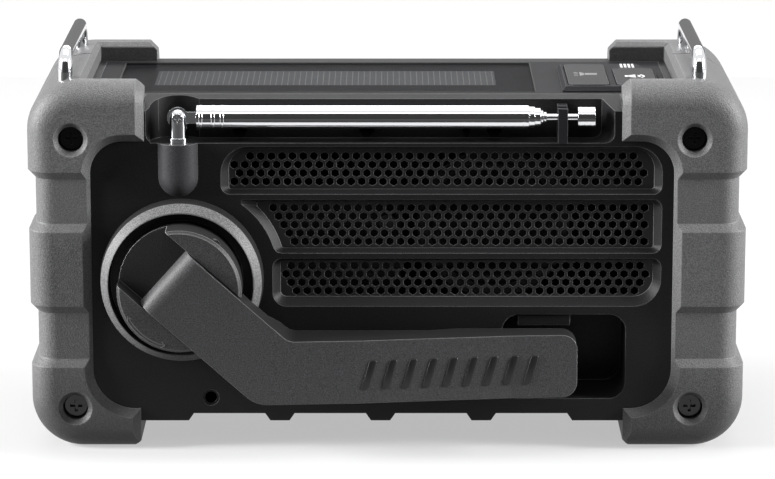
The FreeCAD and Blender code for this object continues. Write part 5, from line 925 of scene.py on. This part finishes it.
class RADIO_OT_rest_pads(bpy.types.Operator):
    """Set small soft pads in the trough, that the folded mast lies on"""
    bl_idname = "radio.rest_pads"
    bl_label = "Rest pads"

    def execute(self, context):
        floor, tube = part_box("antenna_post")[0].z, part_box("mast_section_1")[0].z
        pad = moulded("pad_rubber", grey(0.003), rough=0.6, lift=0.0, sheen=0.0)
        front, back = FACE + 2.6 * MM, FACE + 8.1 * MM
        foot, top, corner, edge = floor + 1.3 * MM, tube - 0.35 * MM, 0.8 * MM, 0.4 * MM
        taper = 0.45
        parts = []
        for middle, width in np.array(((-43.0, 4.4), (-6.0, 4.4), (23.0, 2.2), (31.0, 4.4))) * MM:
            outline = bar_outline(middle - width / 2, middle + width / 2, front, back, corner)
            grid = slab(outline, foot, top, edge)
            grid[0, :, 0] = middle + (grid[0, :, 0] - middle) * taper
            parts.append(grid)
        points, faces = merged(parts)
        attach(mesh("rest_pads", points, faces, pad), "chassis")
        return {"FINISHED"}


class RADIO_OT_stage(bpy.types.Operator):
    """Set the floor, the lights and the camera"""
    bl_idname = "radio.stage"
    bl_label = "Stage"

    def execute(self, context):
        stage = context.scene.radio_stage
        self.floor()
        ground = 0.002
        front = [(y, ground) for y in (-0.14, -0.5, -0.9)]
        self.card("mirrored_card", front + [(-0.97, 0.15), (-1.0, 1.10)])
        self.card("sheen_card", [(1.15, z) for z in (0.02, 0.15, 0.30, 0.45, 0.60)], 0.18)
        self.card("bounce_card", [(y, ground / 2) for y in (0.6, 0.2, -0.2, -0.6, -1.0)])
        right_share = 0.82
        self.light("top_light", (0.0, 0.2, 1.3), (1.4, 0.7), stage.top_light)
        self.light("left_light", (-1.3, -0.20, 0.50), (0.4, 0.7), stage.side_light)
        self.light("right_light", (1.3, -0.20, 0.50), (0.4, 0.7), stage.side_light * right_share)
        self.light("front_light", (0.0, -1.3, 1.5), (1.6, 0.7), stage.front_light)
        self.light("back_light", (0.0, 1.4, 1.0), (1.4, 0.6), stage.back_light)
        self.world(context, stage.surround)
        self.camera(context, stage)
        context.scene.view_settings.view_transform = "Standard"
        return {"FINISHED"}

    def seen(self, shader):
        """One for rays that show the background: from the camera, off gloss or through glass."""
        path = shader.add("LightPath", {}, {})
        camera, gloss, glass = (Wire(shader, path.outputs[n]) for n in
                                ("Is Camera Ray", "Is Glossy Ray", "Is Transmission Ray"))
        return (camera + gloss + glass).clamped()

    def floor(self):
        """A pale floor that shines white where no shadow falls."""
        s = Shader("pale_floor")
        dust = s.noise(0.4, 2.0)
        s.close({
            "Base Color": s.tint(dust * 0.2, shade(grey(0.40), 1), shade(grey(0.38), 1)),
            "Roughness": 0.6,
            "Specular IOR Level": 0.3,
            "Emission Color": s.tint(self.seen(s), (0, 0, 0, 1), (1, 1, 1, 1)),
            "Emission Strength": 0.48,
        })
        spread = np.linspace(6.0, -6.0, 5)
        y, x = np.meshgrid(spread, spread[::-1])
        surface("floor", np.stack([x, y, np.zeros_like(x)], -1), s.material)

    def card(self, name, line, glow=0.0):
        """A dark sheet that follows a line of depths and heights.

        Two are seen only in gloss. The third only keeps the floor's glow off the radio.
        """
        s = Shader(name)
        dust = s.noise(0.1, 1.0) * 0.2
        s.close({
            "Base Color": s.tint(dust, shade(grey(0.01), 1), shade(grey(0.02), 1)),
            "Roughness": 1.0,
            "Emission Color": (1, 1, 1, 1),
            "Emission Strength": glow,
        })
        y, z = np.asarray(line).T
        y, x = np.meshgrid(y, np.linspace(-1.2, 1.2, 5))
        made = surface(name, np.stack([x, y, np.tile(z, (5, 1))], -1), s.material)
        made.visible_camera = made.visible_shadow = made.visible_transmission = False
        made.visible_glossy = name != "bounce_card"
        made.visible_diffuse = name == "bounce_card"

    def light(self, name, place, size, power):
        """A rectangular lamp that faces the radio."""
        data = bpy.data.lights.new(name, "AREA")
        data.shape = "RECTANGLE"
        data.size, data.size_y = size
        data.energy = power
        made = bpy.data.objects.new(name, data)
        made.location = place
        made.rotation_mode = "QUATERNION"
        middle = Vector((0, 0, 0.06))
        made.rotation_quaternion = (Vector(place) - middle).to_track_quat("Z", "Y")
        bpy.context.scene.collection.objects.link(made)

    def world(self, context, surround):
        """Even light from all round, and a white background."""
        world = bpy.data.worlds.new("studio")
        context.scene.world = world
        s = Shader("studio", world)
        strength = surround + self.seen(s) * (1 - surround)
        light = s.out("Background", {}, {"Color": (1, 1, 1, 1), "Strength": strength}, "Background")
        s.tree.links.new(light.socket, s.output.inputs["Surface"])

    def camera(self, context, stage):
        """The photograph's view of the crank side."""
        data = bpy.data.cameras.new("camera")
        data.lens = stage.lens
        data.sensor_width = 36.0
        data.clip_start, data.clip_end = 0.05, 50.0
        made = bpy.data.objects.new("camera", data)
        context.scene.collection.objects.link(made)
        back = Vector((0, -math.cos(stage.tilt), math.sin(stage.tilt)))
        aim = Vector((0, FACE, stage.aim_height))
        made.location = aim + back * stage.distance
        made.rotation_mode = "QUATERNION"
        made.rotation_quaternion = back.to_track_quat("Z", "Y")
        context.scene.camera = made


class RADIO_PT_pieces(bpy.types.Panel):
    """Everything that dresses the radio"""
    bl_label = "Radio"
    bl_space_type = "VIEW_3D"
    bl_region_type = "UI"
    bl_category = "Radio"

    def draw(self, context):
        for step in STEPS:
            self.layout.operator(step.bl_idname)


STEPS = (RADIO_OT_mouldings, RADIO_OT_metals, RADIO_OT_insides, RADIO_OT_glazing, RADIO_OT_mast_rings,
         RADIO_OT_mast_mouths, RADIO_OT_mast_tip, RADIO_OT_grip_bars, RADIO_OT_turn_arrow, RADIO_OT_rest_pads,
         RADIO_OT_key_marks, RADIO_OT_film_trim, RADIO_OT_display_marks, RADIO_OT_dial_trim,
         RADIO_OT_side_trim, RADIO_OT_stage)
GROUPS = {"radio_colours": RadioColours, "radio_stage": RadioStage, "radio_mast": RadioMast,
          "radio_crank": RadioCrank}


def register():
    for group in GROUPS.values():
        bpy.utils.register_class(group)
    for name, group in GROUPS.items():
        setattr(bpy.types.Scene, name, PointerProperty(type=group))
    for step in STEPS:
        bpy.utils.register_class(step)
    bpy.utils.register_class(RADIO_PT_pieces)


def unregister():
    bpy.utils.unregister_class(RADIO_PT_pieces)
    for step in reversed(STEPS):
        bpy.utils.unregister_class(step)
    for name in GROUPS:
        delattr(bpy.types.Scene, name)
    for group in reversed(GROUPS.values()):
        bpy.utils.unregister_class(group)


def main():
    register()
    for step in STEPS:
        group, name = step.bl_idname.split(".")
        getattr(getattr(bpy.ops, group), name)()


if __name__ == "__main__":
    main()
